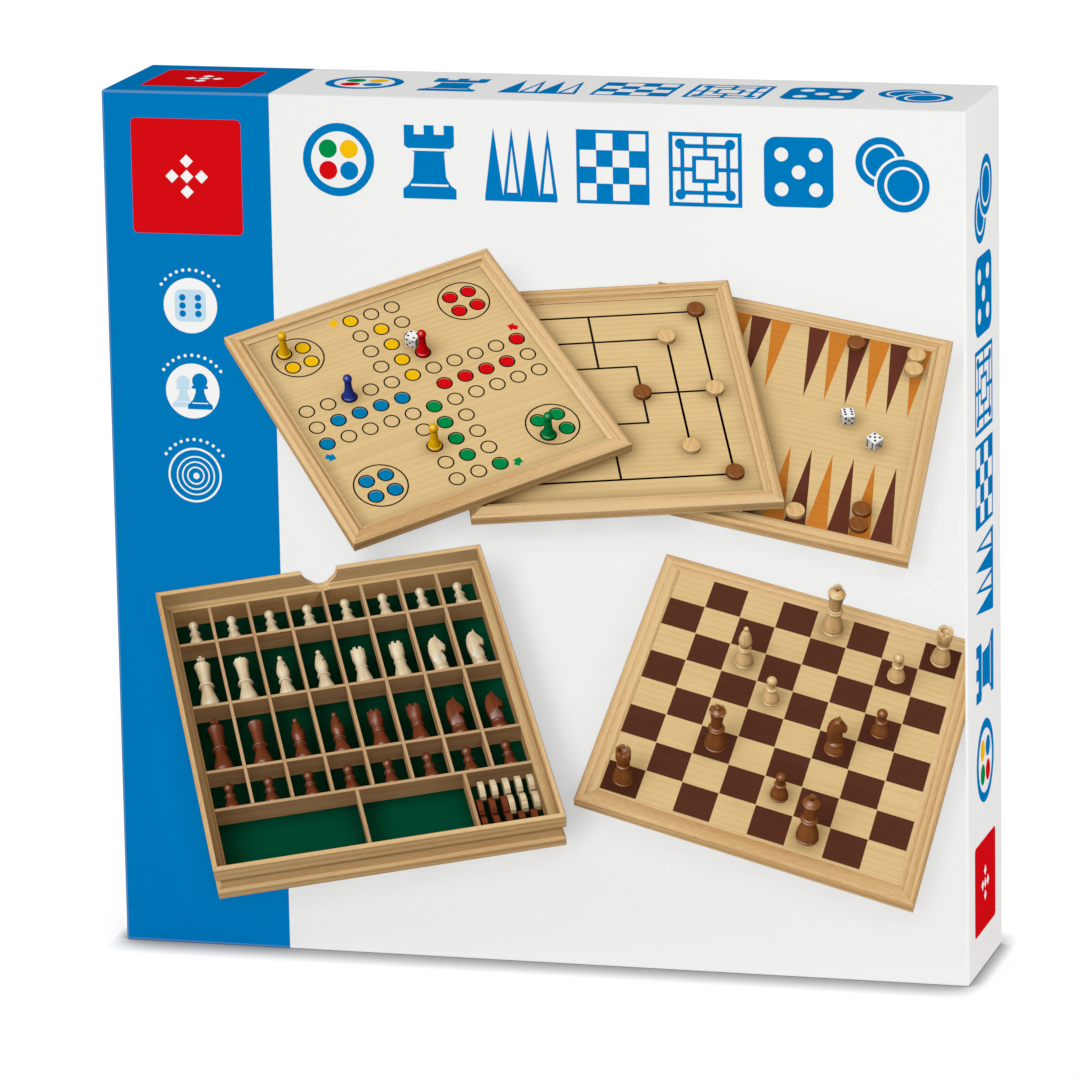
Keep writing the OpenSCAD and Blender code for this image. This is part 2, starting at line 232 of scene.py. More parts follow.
# %% Build the studio
FLOOR_REACH = 3.0
SKY_STRENGTH = 0.68
LAMP_REACH = 5.0
CONTACT_REACH = 0.019
CONTACT_DEPTH = 2.5
CONTACT_BESIDE = 0.006
FLOOR_BOUNCE = 0.92
FLOOR_SEEN = 0.24
FLOOR_GLOW = 0.86


def show_viewers(tree, lit, seen, output):
    """Light meets one shader; the camera, mirrors and glass see another."""
    rays = tree.nodes.new("ShaderNodeLightPath").outputs
    viewer = rays["Is Camera Ray"]
    for kind in ("Is Glossy Ray", "Is Transmission Ray"):
        larger = tree.nodes.new("ShaderNodeMath")
        larger.operation = "MAXIMUM"
        tree.links.new(viewer, larger.inputs[0])
        tree.links.new(rays[kind], larger.inputs[1])
        viewer = larger.outputs[0]
    mix = tree.nodes.new("ShaderNodeMixShader")
    for socket, source in zip(mix.inputs, (viewer, lit.outputs[0], seen.outputs[0])):
        tree.links.new(source, socket)
    tree.links.new(mix.outputs[0], tree.nodes[output].inputs["Surface"])


world = bpy.data.worlds.new("studio")
bpy.context.scene.world = world
world.use_nodes = True
sky = world.node_tree.nodes["Background"]
white = world.node_tree.nodes.new("ShaderNodeBackground")
for background, strength in ((sky, SKY_STRENGTH), (white, 1.0)):
    background.inputs["Color"].default_value = (1, 1, 1, 1)
    background.inputs["Strength"].default_value = strength
show_viewers(world.node_tree, sky, white, "World Output")

floor_mesh = bmesh.new()
bmesh.ops.create_grid(floor_mesh, x_segments=1, y_segments=1, size=FLOOR_REACH)
floor_data = bpy.data.meshes.new("floor")
floor_mesh.to_mesh(floor_data)
floor_paint = Recipe("floor_paint")
floor_paint.finish(Base_Color=(FLOOR_BOUNCE,) * 3, Roughness=0.9, Specular_IOR_Level=0.0)
floor_where = floor_paint.add("TexCoord").outputs["Object"]
across = floor_paint.out("SeparateXYZ", Vector=floor_where)
depth = floor_paint.between(floor_paint.out("Math", {"operation": "ABSOLUTE"}, Value=across),
                            CONTACT_DEPTH, 0.2, From_Min=SIDE / 2,
                            From_Max=SIDE / 2 + CONTACT_BESIDE)
near_things = floor_paint.out("AmbientOcclusion", {"samples": 16}, Distance=CONTACT_REACH)
fading = floor_paint.out("Gamma", Color=near_things, Gamma=depth)
glow = floor_paint.out("Emission", Color=fading, Strength=FLOOR_GLOW)
pale = floor_paint.out("BsdfDiffuse", Color=(FLOOR_SEEN,) * 3)
both = floor_paint.add("AddShader")
for socket, source in zip(both.inputs, (pale, glow)):
    floor_paint.tree.links.new(source, socket)
show_viewers(floor_paint.tree, floor_paint.surface, both, "Material Output")
floor_data.materials.append(floor_paint.material)
into_scene("floor", floor_data)


def soft_lamp(name, way, size, share):
    """A square lamp that faces the carton. It adds a share of full white to a face."""
    data = bpy.data.lights.new(name, "AREA")
    data.size = size
    data.energy = share * (pi * LAMP_REACH) ** 2
    lamp = into_scene(name, data)
    way = Vector(way).normalized()
    lamp.location = way * LAMP_REACH + Vector((0, 0, SIDE / 2))
    lamp.rotation_euler = (-way).to_track_quat("-Z", "Y").to_euler()


soft_lamp("key", (0.53, -0.82, 0.20), 2.4, 0.36)
soft_lamp("fill", (-0.62, 0.70, 0.30), 3.0, 0.16)
bpy.context.scene.view_settings.view_transform = "Standard"

# %% [markdown]
# ## Printing on card
# Every printed shape is a very thin closed plate of ink, drawn flat in millimetres and
# then laid on a wall. Overlapping inks lie on layers a fiftieth of a millimetre apart,
# so they never flicker through each other. The colour goes into an attribute of the
# face corners, which keeps every edge as sharp as a real print and lets one material
# serve them all. The attribute's fourth number says how much wood grain shows.

# %% Ink and print tools
INK_STEP = 0.02
WOOD_SHIFT = Vector((300, 55, 40))
PAPER = tint(241, 241, 240)
BLUE = tint(0, 122, 190)
PALE_BLUE = tint(196, 223, 240)
RED = tint(216, 12, 20)
BLACK = tint(32, 27, 24)
WHITE = tint(246, 246, 244)
YELLOW = tint(247, 192, 12)
GREEN = tint(0, 140, 72)


class Print:
    """A drawing in millimetres: X right, Y up, and each layer a little higher."""

    def __init__(self):
        self.mesh = bmesh.new()
        self.ink = self.mesh.loops.layers.float_color.new("ink")
        self.wood = self.mesh.verts.layers.float_vector.new("wood")
        self.place = Matrix.Identity(4)

    def at(self, x=0.0, y=0.0, size=1.0, turn=0.0):
        """Later shapes are drawn here, at this size and turn."""
        self.place = moved(x, y) @ spun(turn) @ sized(size, size)

    def lay(self, verts, colour, layer, grain=0.0):
        """Colours the faces on these points and puts them on their layer."""
        faces = {face for vert in verts for face in vert.link_faces}
        for face in faces:
            face.normal_update()
            if face.normal.z < 0:
                face.normal_flip()
        paint(faces, self.ink, colour, grain)
        for vert in verts:
            vert.co = self.place @ vert.co
            vert[self.wood] = vert.co + WOOD_SHIFT
            vert.co.z += layer * INK_STEP

    def shape(self, points, colour, layer=1, grain=0.0):
        verts = [self.mesh.verts.new((*point, 0)) for point in points]
        self.mesh.faces.new(verts)
        self.lay(verts, colour, layer, grain)

    def plate(self, x, y, width, height, colour, layer=1, grain=0.0):
        stretch = moved(x + width / 2, y + height / 2) @ sized(width, height)
        made = bmesh.ops.create_grid(self.mesh, x_segments=1, y_segments=1, size=0.5,
                                     matrix=stretch)
        self.lay(made["verts"], colour, layer, grain)

    def rounded(self, x, y, width, height, radius, colour, layer=1):
        points = []
        for right, top, start in ((1, 1, 0), (0, 1, 90), (0, 0, 180), (1, 0, 270)):
            points += arc(x + radius + right * (width - 2 * radius),
                          y + radius + top * (height - 2 * radius), radius, start, start + 90, 6)
        self.shape(points, colour, layer)

    def disc(self, x, y, radius, colour, layer=1, segments=40):
        made = bmesh.ops.create_circle(self.mesh, cap_ends=True, segments=segments, radius=radius,
                                       matrix=moved(x, y))
        self.lay(made["verts"], colour, layer)

    def ring(self, x, y, radius, width, colour, layer=1, segments=40):
        verts = bmesh.ops.create_circle(self.mesh, segments=segments, radius=radius)["verts"]
        inner = new_verts(bmesh.ops.extrude_edge_only(self.mesh, edges=edges_of(verts)))
        share = (radius - width) / radius
        bmesh.ops.scale(self.mesh, vec=(share, share, 1), verts=inner)
        verts += inner
        bmesh.ops.translate(self.mesh, vec=(x, y, 0), verts=verts)
        self.lay(verts, colour, layer)

    def bar(self, start, end, width, colour, layer=1):
        """A straight line of ink with square ends."""
        a, b = Vector(start), Vector(end)
        side = (b - a).orthogonal().normalized() * width / 2
        self.shape([a - side, b - side, b + side, a + side], colour, layer)

    def square_ring(self, x, y, side, width, colour, layer=1):
        """A square outline, centred on x and y."""
        out, inside = side / 2, side / 2 - width
        for spin in QUARTERS:
            corners = [(-out, -out), (out, -out), (inside, -inside), (-inside, -inside)]
            self.shape([Vector((x, y)) + spin @ Vector(c) for c in corners], colour, layer)


def wall(origin, across, up):
    """The matrix that lays a drawing on a wall: its X goes across, its Y up."""
    across, up = Vector(across), Vector(up)
    turn = Matrix((across, up, across.cross(up))).transposed().to_4x4()
    return Matrix.Translation(origin) @ turn @ Matrix.Scale(MM, 4)


def add_piece(name, mesh, body, material, replaces=(), smooth_below=None):
    """Makes a finished piece of a bmesh, and says what it rides on and stands for."""
    data = bpy.data.meshes.new(name)
    mesh.to_mesh(data)
    mesh.free()
    if smooth_below:
        data.shade_smooth()
        data.set_sharp_from_angle(angle=radians(smooth_below))
    piece = into_scene(name, data)
    data.materials.append(material)
    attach(piece, body)
    if replaces:
        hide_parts(*replaces)
    return piece


def stick(drawing, name, on_wall, body, material):
    """Gives a drawing its thickness and lays it on its wall."""
    mesh = drawing.mesh
    grown = bmesh.ops.extrude_face_region(mesh, geom=list(mesh.faces), use_keep_orig=True)
    for vert in new_verts(grown):
        vert.co.z = -INK_STEP / 2
    bmesh.ops.recalc_face_normals(mesh, faces=list(mesh.faces))
    mesh.transform(on_wall)
    add_piece(name, mesh, body, material)


# %% [markdown]
# ## Wood and laminated print
# All the wood, real or printed, has one figure. Each wooden piece carries an attribute
# named wood: its own millimetres, with X along the grain, moved to another part of the
# imagined tree. Growth rings are rings about that X axis, fine fibres are noise drawn
# out along it, and a slow noise shifts the tone. The pattern lives in the piece, so a
# mitred corner shows two grains meeting, as in a real frame.
# The carton's paper is covered with a thin satin film. Under it the ink is almost flat,
# so its life comes from a faint mottle, a gloss that wanders and a very fine bump.

# %% Recipes for wood and print
def wood_figure(recipe, ring_pitch, ring_share):
    """A grey pattern of rings, fibres and slow patches, and the fibres alone."""
    where = recipe.add("Attribute", {"attribute_name": "wood"}).outputs["Vector"]
    along = recipe.out("Mapping", Vector=where, Scale=(0.05, 1.0, 1.0))
    rings = recipe.add("TexWave", {"wave_type": "RINGS", "rings_direction": "X",
                                   "wave_profile": "SAW"},
                       Vector=along, Scale=0.314 / ring_pitch, Distortion=9.0, Detail=3.0,
                       Detail_Scale=0.5, Detail_Roughness=0.55).outputs["Fac"]
    fibres = recipe.noise(along, 2.6, 4.0, 0.62)
    slow = recipe.noise(along, 0.06, 2.0)
    return recipe.mix(0.6, recipe.mix(1.0 - ring_share, rings, fibres), slow, "OVERLAY"), fibres


def wooden(name, pale, dark, roughness, ring_pitch=3.4, ring_share=0.42, coat=0.0):
    recipe = Recipe(name)
    figure, fibres = wood_figure(recipe, ring_pitch, ring_share)
    middle = blend_colours(pale, dark, 0.35)
    colour = recipe.steps(figure, (0.18, pale), (0.5, middle), (0.86, dark))
    return recipe.finish(Base_Color=colour, Normal=recipe.bump(fibres, 0.25, 0.00012),
                         Roughness=recipe.between(fibres, roughness - 0.08, roughness + 0.08),
                         Specular_IOR_Level=0.3, Coat_Weight=coat, Coat_Roughness=0.25)


def printed_wood(name):
    """Ink laid thinly on plywood: the ink's alpha says how much grain shows."""
    recipe = Recipe(name)
    ink = recipe.add("Attribute", {"attribute_name": "ink"}).outputs
    figure, fibres = wood_figure(recipe, 12.0, 0.2)
    depth = recipe.steps(figure, (0.25, (1.0, 1.0, 1.0)), (0.8, (0.72, 0.64, 0.52)))
    return recipe.finish(Base_Color=recipe.mix(ink["Alpha"], ink["Color"], depth, "MULTIPLY"),
                         Normal=recipe.bump(fibres, 0.12, 0.00008), Roughness=0.46,
                         Specular_IOR_Level=0.25)


def printed_card(name, film_roughness, mottle, grained=False, gloss=0.0):
    recipe = Recipe(name)
    ink = recipe.add("Attribute", {"attribute_name": "ink"}).outputs
    where = recipe.add("TexCoord").outputs["Object"]
    patches = recipe.noise(where, 900.0, 3.0, 0.6)
    spread = recipe.between(patches, 1.0 - mottle, 1.0 + mottle)
    colour = recipe.mix(1.0, ink["Color"], spread, "MULTIPLY")
    if grained:
        figure = wood_figure(recipe, 7.0, 0.3)[0]
        depth = recipe.steps(figure, (0.22, (1.0, 1.0, 1.0)), (0.46, (0.92, 0.86, 0.76)),
                             (0.72, (0.66, 0.51, 0.35)))
        colour = recipe.mix(ink["Alpha"], colour, depth, "MULTIPLY")
    clouds = recipe.noise(where, 28.0, 4.0, 0.55)
    rubbed = recipe.between(clouds, film_roughness - 0.05, film_roughness + 0.06)
    bump = recipe.bump(recipe.noise(where, 420.0, 5.0, 0.65), 0.12, 0.0002)
    return recipe.finish(Base_Color=colour, Roughness=rubbed, Normal=bump,
                         Specular_IOR_Level=gloss)


print_film = printed_card("laminated_print", 0.38, 0.015)
pine = wooden("pine", tint(240, 214, 170), tint(204, 158, 104), 0.52)
plywood = wooden("birch_plywood", tint(234, 212, 168), tint(212, 180, 130), 0.6, 23.0, 0.16)
divider_wood = wooden("divider_wood", tint(205, 172, 128), tint(158, 122, 82), 0.62, 5.0, 0.3)
boxwood = wooden("boxwood", tint(236, 206, 156), tint(200, 156, 100), 0.34, 2.4, 0.45, 0.25)
stained = wooden("stained_wood", tint(134, 74, 44), tint(74, 36, 20), 0.3, 2.4, 0.5, 0.3)
board_ink = printed_wood("printed_plywood")

# %% [markdown]
# ## The lid and the base
# Each is one sheet of card folded into a tray. It starts as a cube with one face taken
# away. A cut at the edge of the blue stripe lets the colour run over the folds without
# a seam. The folds are bevelled, and their faces are inked a little lighter, a painted
# highlight where the film turns over the fold. Last, the sheet is given the thickness
# of the card, towards the inside, and the printed paper is turned in over its rim.

# %% Fold the lid and the base
STRIPE_X = -97.0 * MM
CARD_T = 2.0 * MM
FOLD_R = 0.9 * MM
TURN_IN = 15.0 * MM
# The share of white mixed into the fold faces' ink: a painted highlight on every fold.
FOLD_HIGHLIGHT = 0.10
GREYBOARD = tint(196, 190, 178)


def paper_ink(face):
    return BLUE if face.calc_center_median().x < STRIPE_X else PAPER


def folded_tray(low, high, open_side):
    """A tray of card between two corners, open towards +Y or -Y."""
    mesh = bmesh.new()
    ink = mesh.loops.layers.float_color.new("ink")
    stretch = Matrix.Translation((low + high) / 2) @ sized(*(high - low))
    bmesh.ops.create_cube(mesh, size=1.0, matrix=stretch)
    gone = [f for f in mesh.faces if f.normal.y * open_side > 0.9]
    bmesh.ops.delete(mesh, geom=gone, context="FACES")
    eased(mesh, [e for e in mesh.edges if len(e.link_faces) == 2], FOLD_R, 4)
    cut_across(mesh, everything(mesh), (STRIPE_X, 0, 0), (1, 0, 0))
    for face in mesh.faces:
        # Bevelled fold faces get a painted highlight: their ink is mixed a share towards white.
        flat = max(abs(c) for c in face.normal) > 0.999
        paint([face], ink, blend_colours(paper_ink(face), (1, 1, 1), 0 if flat else FOLD_HIGHLIGHT))
    outer = set(mesh.faces)
    bmesh.ops.solidify(mesh, geom=list(mesh.faces), thickness=CARD_T)
    inner = [face for face in mesh.faces if face not in outer]
    glued = (high.y if open_side > 0 else low.y) - open_side * TURN_IN
    cut = cut_across(mesh, all_of(inner), (0, glued, 0), (0, 1, 0))
    for face in set(inner) | {g for g in cut["geom"] if isinstance(g, bmesh.types.BMFace)}:
        lined = (face.calc_center_median().y - glued) * open_side > 0
        paint([face], ink, paper_ink(face) if lined else GREYBOARD)
    return mesh


base_low, base_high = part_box("base")
add_piece("lid_shell", folded_tray(lid_low, lid_high, 1), "lid", print_film,
          ["lid"], 30)
add_piece("base_shell", folded_tray(base_low, base_high, -1), "base", print_film,
          ["base"], 30)

# %% [markdown]
# ## Motifs for the printed bands
# A row of plain signs for the games inside runs along the top of the front, in the
# blue of the stripe. Each sign fills a square cell, so one row serves the front, the
# top and both sides.

# %% Draw the motifs
CELL = 27.0
MID = CELL / 2


def mirrored(half):
    """A symmetric outline from its right half, listed from the bottom up."""
    return [(MID + x, y) for x, y in half] + [(MID - x, y) for x, y in reversed(half)]


def discs(art, spots, radius, colour, layer=1, segments=40):
    for x, y in spots:
        art.disc(x, y, radius, colour, layer, segments)


def sign_chequers(art, ink, ground):
    line = 1.3
    art.square_ring(MID, MID, CELL, line, ink)
    step = (CELL - 2 * line) / 4
    for row in range(4):
        for column in range(4):
            if (row + column) % 2:
                art.plate(line + column * step, line + row * step, step, step, ink)


def sign_pawn(art, ink, ground):
    art.shape(mirrored([(9.5, 0), (9.5, 3.2), (7.6, 4.6), (5.2, 7.5), (3.4, 12.5), (3.2, 15.2),
                        (6.2, 15.6), (6.2, 17.4), (3.6, 17.8)]), ink)
    art.disc(MID, 21.2, 5.8, ink, 2)
    art.plate(MID - 6.2, 4.2, 12.4, 0.8, ground, 3)


def sign_rook(art, ink, ground):
    art.shape(mirrored([(10, 0), (10, 3.6), (8, 5), (6.2, 8), (5.6, 17), (9.4, 19.4), (9.4, 27),
                        (5.6, 27), (5.6, 23.6), (1.9, 23.6), (1.9, 27)]), ink)
    art.plate(MID - 7.6, 17.6, 15.2, 0.9, ground, 2)
    art.plate(MID - 7.0, 4.6, 14.0, 0.8, ground, 2)


def sign_die(art, ink, ground):
    art.rounded(0.8, 0.8, 25.4, 25.4, 4.6, ink)
    discs(art, [(7.2, 7.2), (19.8, 7.2), (MID, MID), (7.2, 19.8), (19.8, 19.8)], 2.5, ground, 2)


def sign_mill(art, ink, ground):
    for side in (27.0, 18.4, 9.8):
        art.square_ring(MID, MID, side, 1.5, ink)
    middle = Vector((MID, MID))
    for spin in QUARTERS:
        way, corner = spin @ Vector((1, 0)), spin @ Vector((9.2, -9.2))
        art.bar(middle + 4.9 * way, middle + 13 * way, 1.5, ink, 2)
        art.disc(*(middle + corner), 1.9, ink, 3)


def sign_points(art, ink, ground):
    art.plate(0, 0, CELL, 1.8, ink)
    width = CELL / 4
    for i in range(4):
        x = i * width
        art.shape([(x, 1.8), (x + width, 1.8), (x + width / 2, 27)], ink)
        if i % 2:
            art.shape([(x + 1.5, 3.2), (x + width - 1.5, 3.2), (x + width / 2, 20)], ground, 2)


def sign_draughts(art, ink, ground):
    art.disc(9.2, 17.8, 9.2, ink)
    art.ring(9.2, 17.8, 6.6, 1.0, ground, 2)
    art.disc(17.4, 9.6, 10.6, ground, 3)
    art.disc(17.4, 9.6, 9.6, ink, 4)
    art.ring(17.4, 9.6, 6.9, 1.0, ground, 5)


def sign_home(art, ink, ground):
    art.disc(MID, MID, MID, ink)
    art.disc(MID, MID, 10.4, ground, 2)
    for spot, colour in zip(arc(MID, MID, 5.6, 45, 315, 3), (YELLOW, GREEN, RED, ink)):
        art.disc(*spot, 3.4, colour, 3)


SIGNS = [sign_home, sign_rook, sign_points, sign_chequers, sign_mill, sign_die, sign_draughts]


def band(art, x, y, height, length, ink=BLUE, ground=PAPER):
    """A row of all the signs, from x and y on, spread over a length."""
    for i, sign in enumerate(SIGNS):
        art.at(x + i * (length - height) / (len(SIGNS) - 1), y, height / CELL)
        sign(art, ink, ground)


def red_panel(art, x, y, width, height, mark):
    """A red square with rounded corners and a small lozenge of chequers."""
    art.at()
    art.rounded(x, y, width, height, 1.8, RED, 2)
    art.at(x + width / 2, y + height / 2, mark / 3, 45)
    for row in range(3):
        for column in range(row % 2, 3, 2):
            art.plate(row - 1.44, column - 1.44, 0.88, 0.88, WHITE, 3)


def badge_die(art):
    art.disc(0, 0, 10.3, WHITE)
    art.rounded(-6, -6, 12, 12, 2.4, PALE_BLUE, 2)
    discs(art, [(x, y) for x in (-3, 3) for y in (-3, 0, 3)], 1.25, BLUE, 3, 20)


def badge_pawns(art):
    art.disc(0, 0, 10.3, WHITE)
    spot = art.place.copy()
    for dx, dy, size, colour, layer in [(-3.6, -6.2, 0.44, PALE_BLUE, 2), (2.8, -6.8, 0.5, BLUE, 3)]:
        art.place = spot @ moved(dx - MID * size, dy, layer * INK_STEP) @ sized(size, size)
        sign_pawn(art, colour, WHITE)


def badge_rings(art):
    art.ring(0, 0, 10.3, 0.8, WHITE)
    for radius in (7.4, 5.4, 3.4):
        art.ring(0.3, -0.2, radius, 0.55, WHITE)
    art.disc(0.5, -0.3, 1.2, WHITE)


# %% [markdown]
# ## Prints on the lid
# The places are measured in millimetres on each wall, from the middle of the carton
# across and from its foot or its front edge up. A row of signs has its corner, height
# and length, and a panel its corner, width, height and mark. Each badge has an arc of
# dots above it.

# %% Print the lid's walls
FRONT_WALL = wall((0, FRONT_Y, 0), (1, 0, 0), (0, 0, 1))
LID_WALLS = [
    ("front", FRONT_WALL,
     (-84.5, 285.0, 27.0, 232.5), (-150.0, 269.4, 42.0, 42.6, 12.0)),
    ("top", wall((0, FRONT_Y, SIDE), (1, 0, 0), (0, 1, 0)),
     (-84.0, 16.0, 29.0, 235.0), (-150.0, 12.0, 38.0, 37.0, 11.0)),
    ("right", wall((SIDE / 2, FRONT_Y, 0), (0, 0, 1), (0, -1, 0)),
     (62.0, -46.0, 31.0, 239.0), (14.5, -48.0, 34.0, 37.0, 10.0)),
    ("left", wall((-SIDE / 2, FRONT_Y, SIDE), (0, 0, -1), (0, -1, 0)),
     (22.0, -46.0, 31.0, 239.0, PAPER, BLUE), (274.0, -48.0, 34.0, 37.0, 10.0)),
    ("bottom", wall((0, FRONT_Y, 0), (1, 0, 0), (0, -1, 0)), (-84.0, -45.0, 29.0, 235.0), None)]
for side, place, row, panel in LID_WALLS:
    art = Print()
    band(art, *row)
    if panel:
        red_panel(art, *panel)
    if side == "front":
        for height, draw in [(242.7, badge_die), (210.8, badge_pawns), (179.2, badge_rings)]:
            art.at(-129.0, height)
            discs(art, arc(0, 0, 13.4, 35, 145, 10), 0.62, WHITE, segments=16)
            draw(art)
    stick(art, f"lid_print_{side}", place, "lid", print_film)

# %% [markdown]
# ## Grain, and pieces from several parts
# Every wooden piece takes another place in the tree from a seeded random source, so no
# two rails match and each run gives the same wood.

# %% Grain helpers
chance = random.Random(7)
GRAIN_ORDER = {"X": (0, 1, 2), "Y": (1, 2, 0), "Z": (2, 0, 1)}


def grain_along(mesh, axis, unit=1.0):
    """Writes the wood attribute, with the grain along an axis of the mesh."""
    layer = mesh.verts.layers.float_vector.new("wood")
    shift = Vector((chance.uniform(0, 900), chance.uniform(38, 70), chance.uniform(-20, 20)))
    for vert in mesh.verts:
        vert[layer] = Vector([vert.co[i] / unit for i in GRAIN_ORDER[axis]]) + shift


def joined(parts):
    """One bmesh from several, with their attributes."""
    whole = bmesh.new()
    for part in parts:
        data = bpy.data.meshes.new("part")
        part.to_mesh(data)
        part.free()
        whole.from_mesh(data)
        bpy.data.meshes.remove(data)
    return whole


# %% [markdown]
# ## Rails, dividers and floor
# These were cut by machine and then rubbed over with sandpaper, which takes the bite
# off every edge. The measured solids already have the right shape, so each one is
# copied, its loose triangles are merged and its long edges bevelled by a quarter of a
# millimetre. The grain runs along each rail and divider.

# %% Make the straight wooden pieces
def merged_copy(node):
    """A copy of a measured solid with its loose triangles merged."""
    mesh = bmesh.new()
    mesh.from_mesh(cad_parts[node].data)
    bmesh.ops.remove_doubles(mesh, verts=mesh.verts, dist=0.002 * MM)
    return mesh


def wooden_piece(node, axis, body, material=pine):
    mesh = merged_copy(node)
    bmesh.ops.dissolve_limit(mesh, angle_limit=radians(0.5), verts=mesh.verts, edges=mesh.edges)
    sharp = [e for e in mesh.edges if e.is_manifold and e.calc_face_angle() > radians(28)]
    eased(mesh, sharp, 0.25 * MM, clamp=True)
    grain_along(mesh, axis, MM)
    add_piece(node + "_wood", mesh, body, material, [node], 24)


LONG_WAY = {"top": "X", "bottom": "X", "left": "Z", "right": "Z"}
for side, axis in LONG_WAY.items():
    wooden_piece(f"case_rail_{side}", axis, "case")
    wooden_piece(f"chess_ludo_rail_{side}", axis, "chess_board")
    wooden_piece(f"mill_backgammon_rail_{side}", axis, "mill_board")
DIVIDERS = [("row", 4, "X"), ("column", 7, "Z"), ("section", 2, "Z")]
DIVIDER_AXES = {f"{kind}_divider_{number + 1}": axis
                for kind, count, axis in DIVIDERS for number in range(count)}
for node, axis in DIVIDER_AXES.items():
    wooden_piece(node, axis, "case", material=divider_wood)
wooden_piece("case_floor", "X", "case", plywood)
wooden_piece("chess_ludo_panel", "X", "chess_board", plywood)
wooden_piece("mill_backgammon_panel", "X", "mill_board", plywood)
print("straight wooden pieces made")

# %% [markdown]
# ## Turned pieces
# Chessmen, draughts and ludo pawns come off a lathe, so each is an outline spun round
# an axis. An outline is a list of radius and height. Straight cuts are plain points,
# beads are arcs, and the rest is a smooth curve through a few points. The foot's
# radius r is the unit, so a larger man is the same drawing at another size.

# %% Lathe tools
def flowing(points, steps=4):
    """A smooth curve through the points."""
    ends = [Vector(p) for p in (points[0], *points, points[-1])]
    curve = []
    for a, b, c, d in zip(ends, ends[1:], ends[2:], ends[3:]):
        for step in range(steps):
            t = step / steps
            curve.append((b * 2 + (c - a) * t + (a * 2 - b * 5 + c * 4 - d) * t ** 2
                          + (b * 3 - a - c * 3 + d) * t ** 3) / 2)
    return curve + [ends[-1]]


def strung(mesh, points):
    """New points, and the edges that join them in a row."""
    verts = [mesh.verts.new(point) for point in points]
    return verts, [mesh.edges.new(pair) for pair in zip(verts, verts[1:])]


def turned(outline, segments):
    """Spins an outline of radius and height round the Z axis."""
    mesh = bmesh.new()
    verts, edges = strung(mesh, [(radius, 0, height) for radius, height in outline])
    bmesh.ops.spin(mesh, geom=verts + edges, axis=(0, 0, 1), cent=(0, 0, 0), angle=2 * pi,
                   steps=segments, use_merge=True)
    bmesh.ops.remove_doubles(mesh, verts=mesh.verts, dist=0.004)
    bmesh.ops.recalc_face_normals(mesh, faces=mesh.faces)
    return mesh


def push(mesh, faces, way):
    """Moves a patch of faces and walls it round. Returns the faces in their new place."""
    grown = bmesh.ops.extrude_face_region(mesh, geom=faces)
    bmesh.ops.translate(mesh, vec=way, verts=new_verts(grown))
    bmesh.ops.delete(mesh, geom=faces, context="FACES")
    return [part for part in grown["geom"] if isinstance(part, bmesh.types.BMFace)]


def rise(r, base, *points):
    """Points in units of r, with their heights counted from a base."""
    return [(x * r, base + z * r) for x, z in points]


def stand(r, waist, neck, collar=0.0):
    """The plinth with its groove, the bell over it, and two discs at the neck."""
    outline = rise(r, 0, (0, 0), (0.94, 0), (1, 0.06), (1, 0.2), (0.96, 0.25), (0.90, 0.28),
                   (0.90, 0.32), (0.95, 0.36))
    for step in range(11):
        t = step / 10
        fall = 0.35 * t + 0.65 * t * t * (3 - 2 * t)
        outline.append((r * (waist + (0.97 - waist) * (1 - fall)),
                        0.42 * r + (neck - 0.42 * r) * t))
    if collar:
        outline += arc((collar - 0.12) * r, neck + 0.13 * r, 0.12 * r, -90, 90, 5)
        outline += arc((collar * 0.84 - 0.08) * r, neck + 0.34 * r, 0.08 * r, -90, 90, 4)
        outline += rise(r, neck, (collar * 0.68, 0.44))
    return outline


# %% [markdown]
# ## Chessmen
# Each man's head is its own: the king's cup carries a cross, the queen's rim is
# scalloped, the bishop's mitre has a sloping cut, and the rook's wall has gaps. What a
# lathe can't do is cut afterwards, as the maker would: the cross is a bevelled
# outline, the cut is a band of faces pushed in, and the gaps are left between faces
# pulled up.

# %% Chessmen from the lathe
def king(r, height, segments):
    body = height - 0.95 * r
    neck = 0.47 * body
    mesh = turned(stand(r, 0.50, neck, 0.76)
                  + flowing(rise(r, neck, (0.50, 0.46), (0.52, 0.8))
                            + rise(r, body, (0.64, -1.05), (0.76, -0.5)))
                  + rise(r, body, (0.78, -0.42), (0.74, -0.34))
                  + flowing(rise(r, body, (0.70, -0.32), (0.52, -0.12), (0.26, 0)))
                  + rise(r, body, (0.18, 0.02), (0, 0.02)), segments)
    waist = 0.08 * r
    arm = [(-waist, waist), (-0.17 * r, 0.36 * r), (0.17 * r, 0.36 * r)]
    cross = [Matrix.Rotation(radians(-90 * turn), 2) @ Vector(point)
             for turn in range(4) for point in arm]
    verts = [mesh.verts.new((x, -0.1 * r, z * (1.3 if z < -waist else 1) + height - 0.5 * r))
             for x, z in cross]
    face = mesh.faces.new(verts)
    far = new_verts(bmesh.ops.extrude_face_region(mesh, geom=[face], use_keep_orig=True))
    bmesh.ops.translate(mesh, vec=(0, 0.2 * r, 0), verts=far)
    edges = edges_of(verts + far)
    bmesh.ops.recalc_face_normals(mesh, faces=list({f for e in edges for f in e.link_faces}))
    eased(mesh, edges, 0.035 * r)
    return mesh


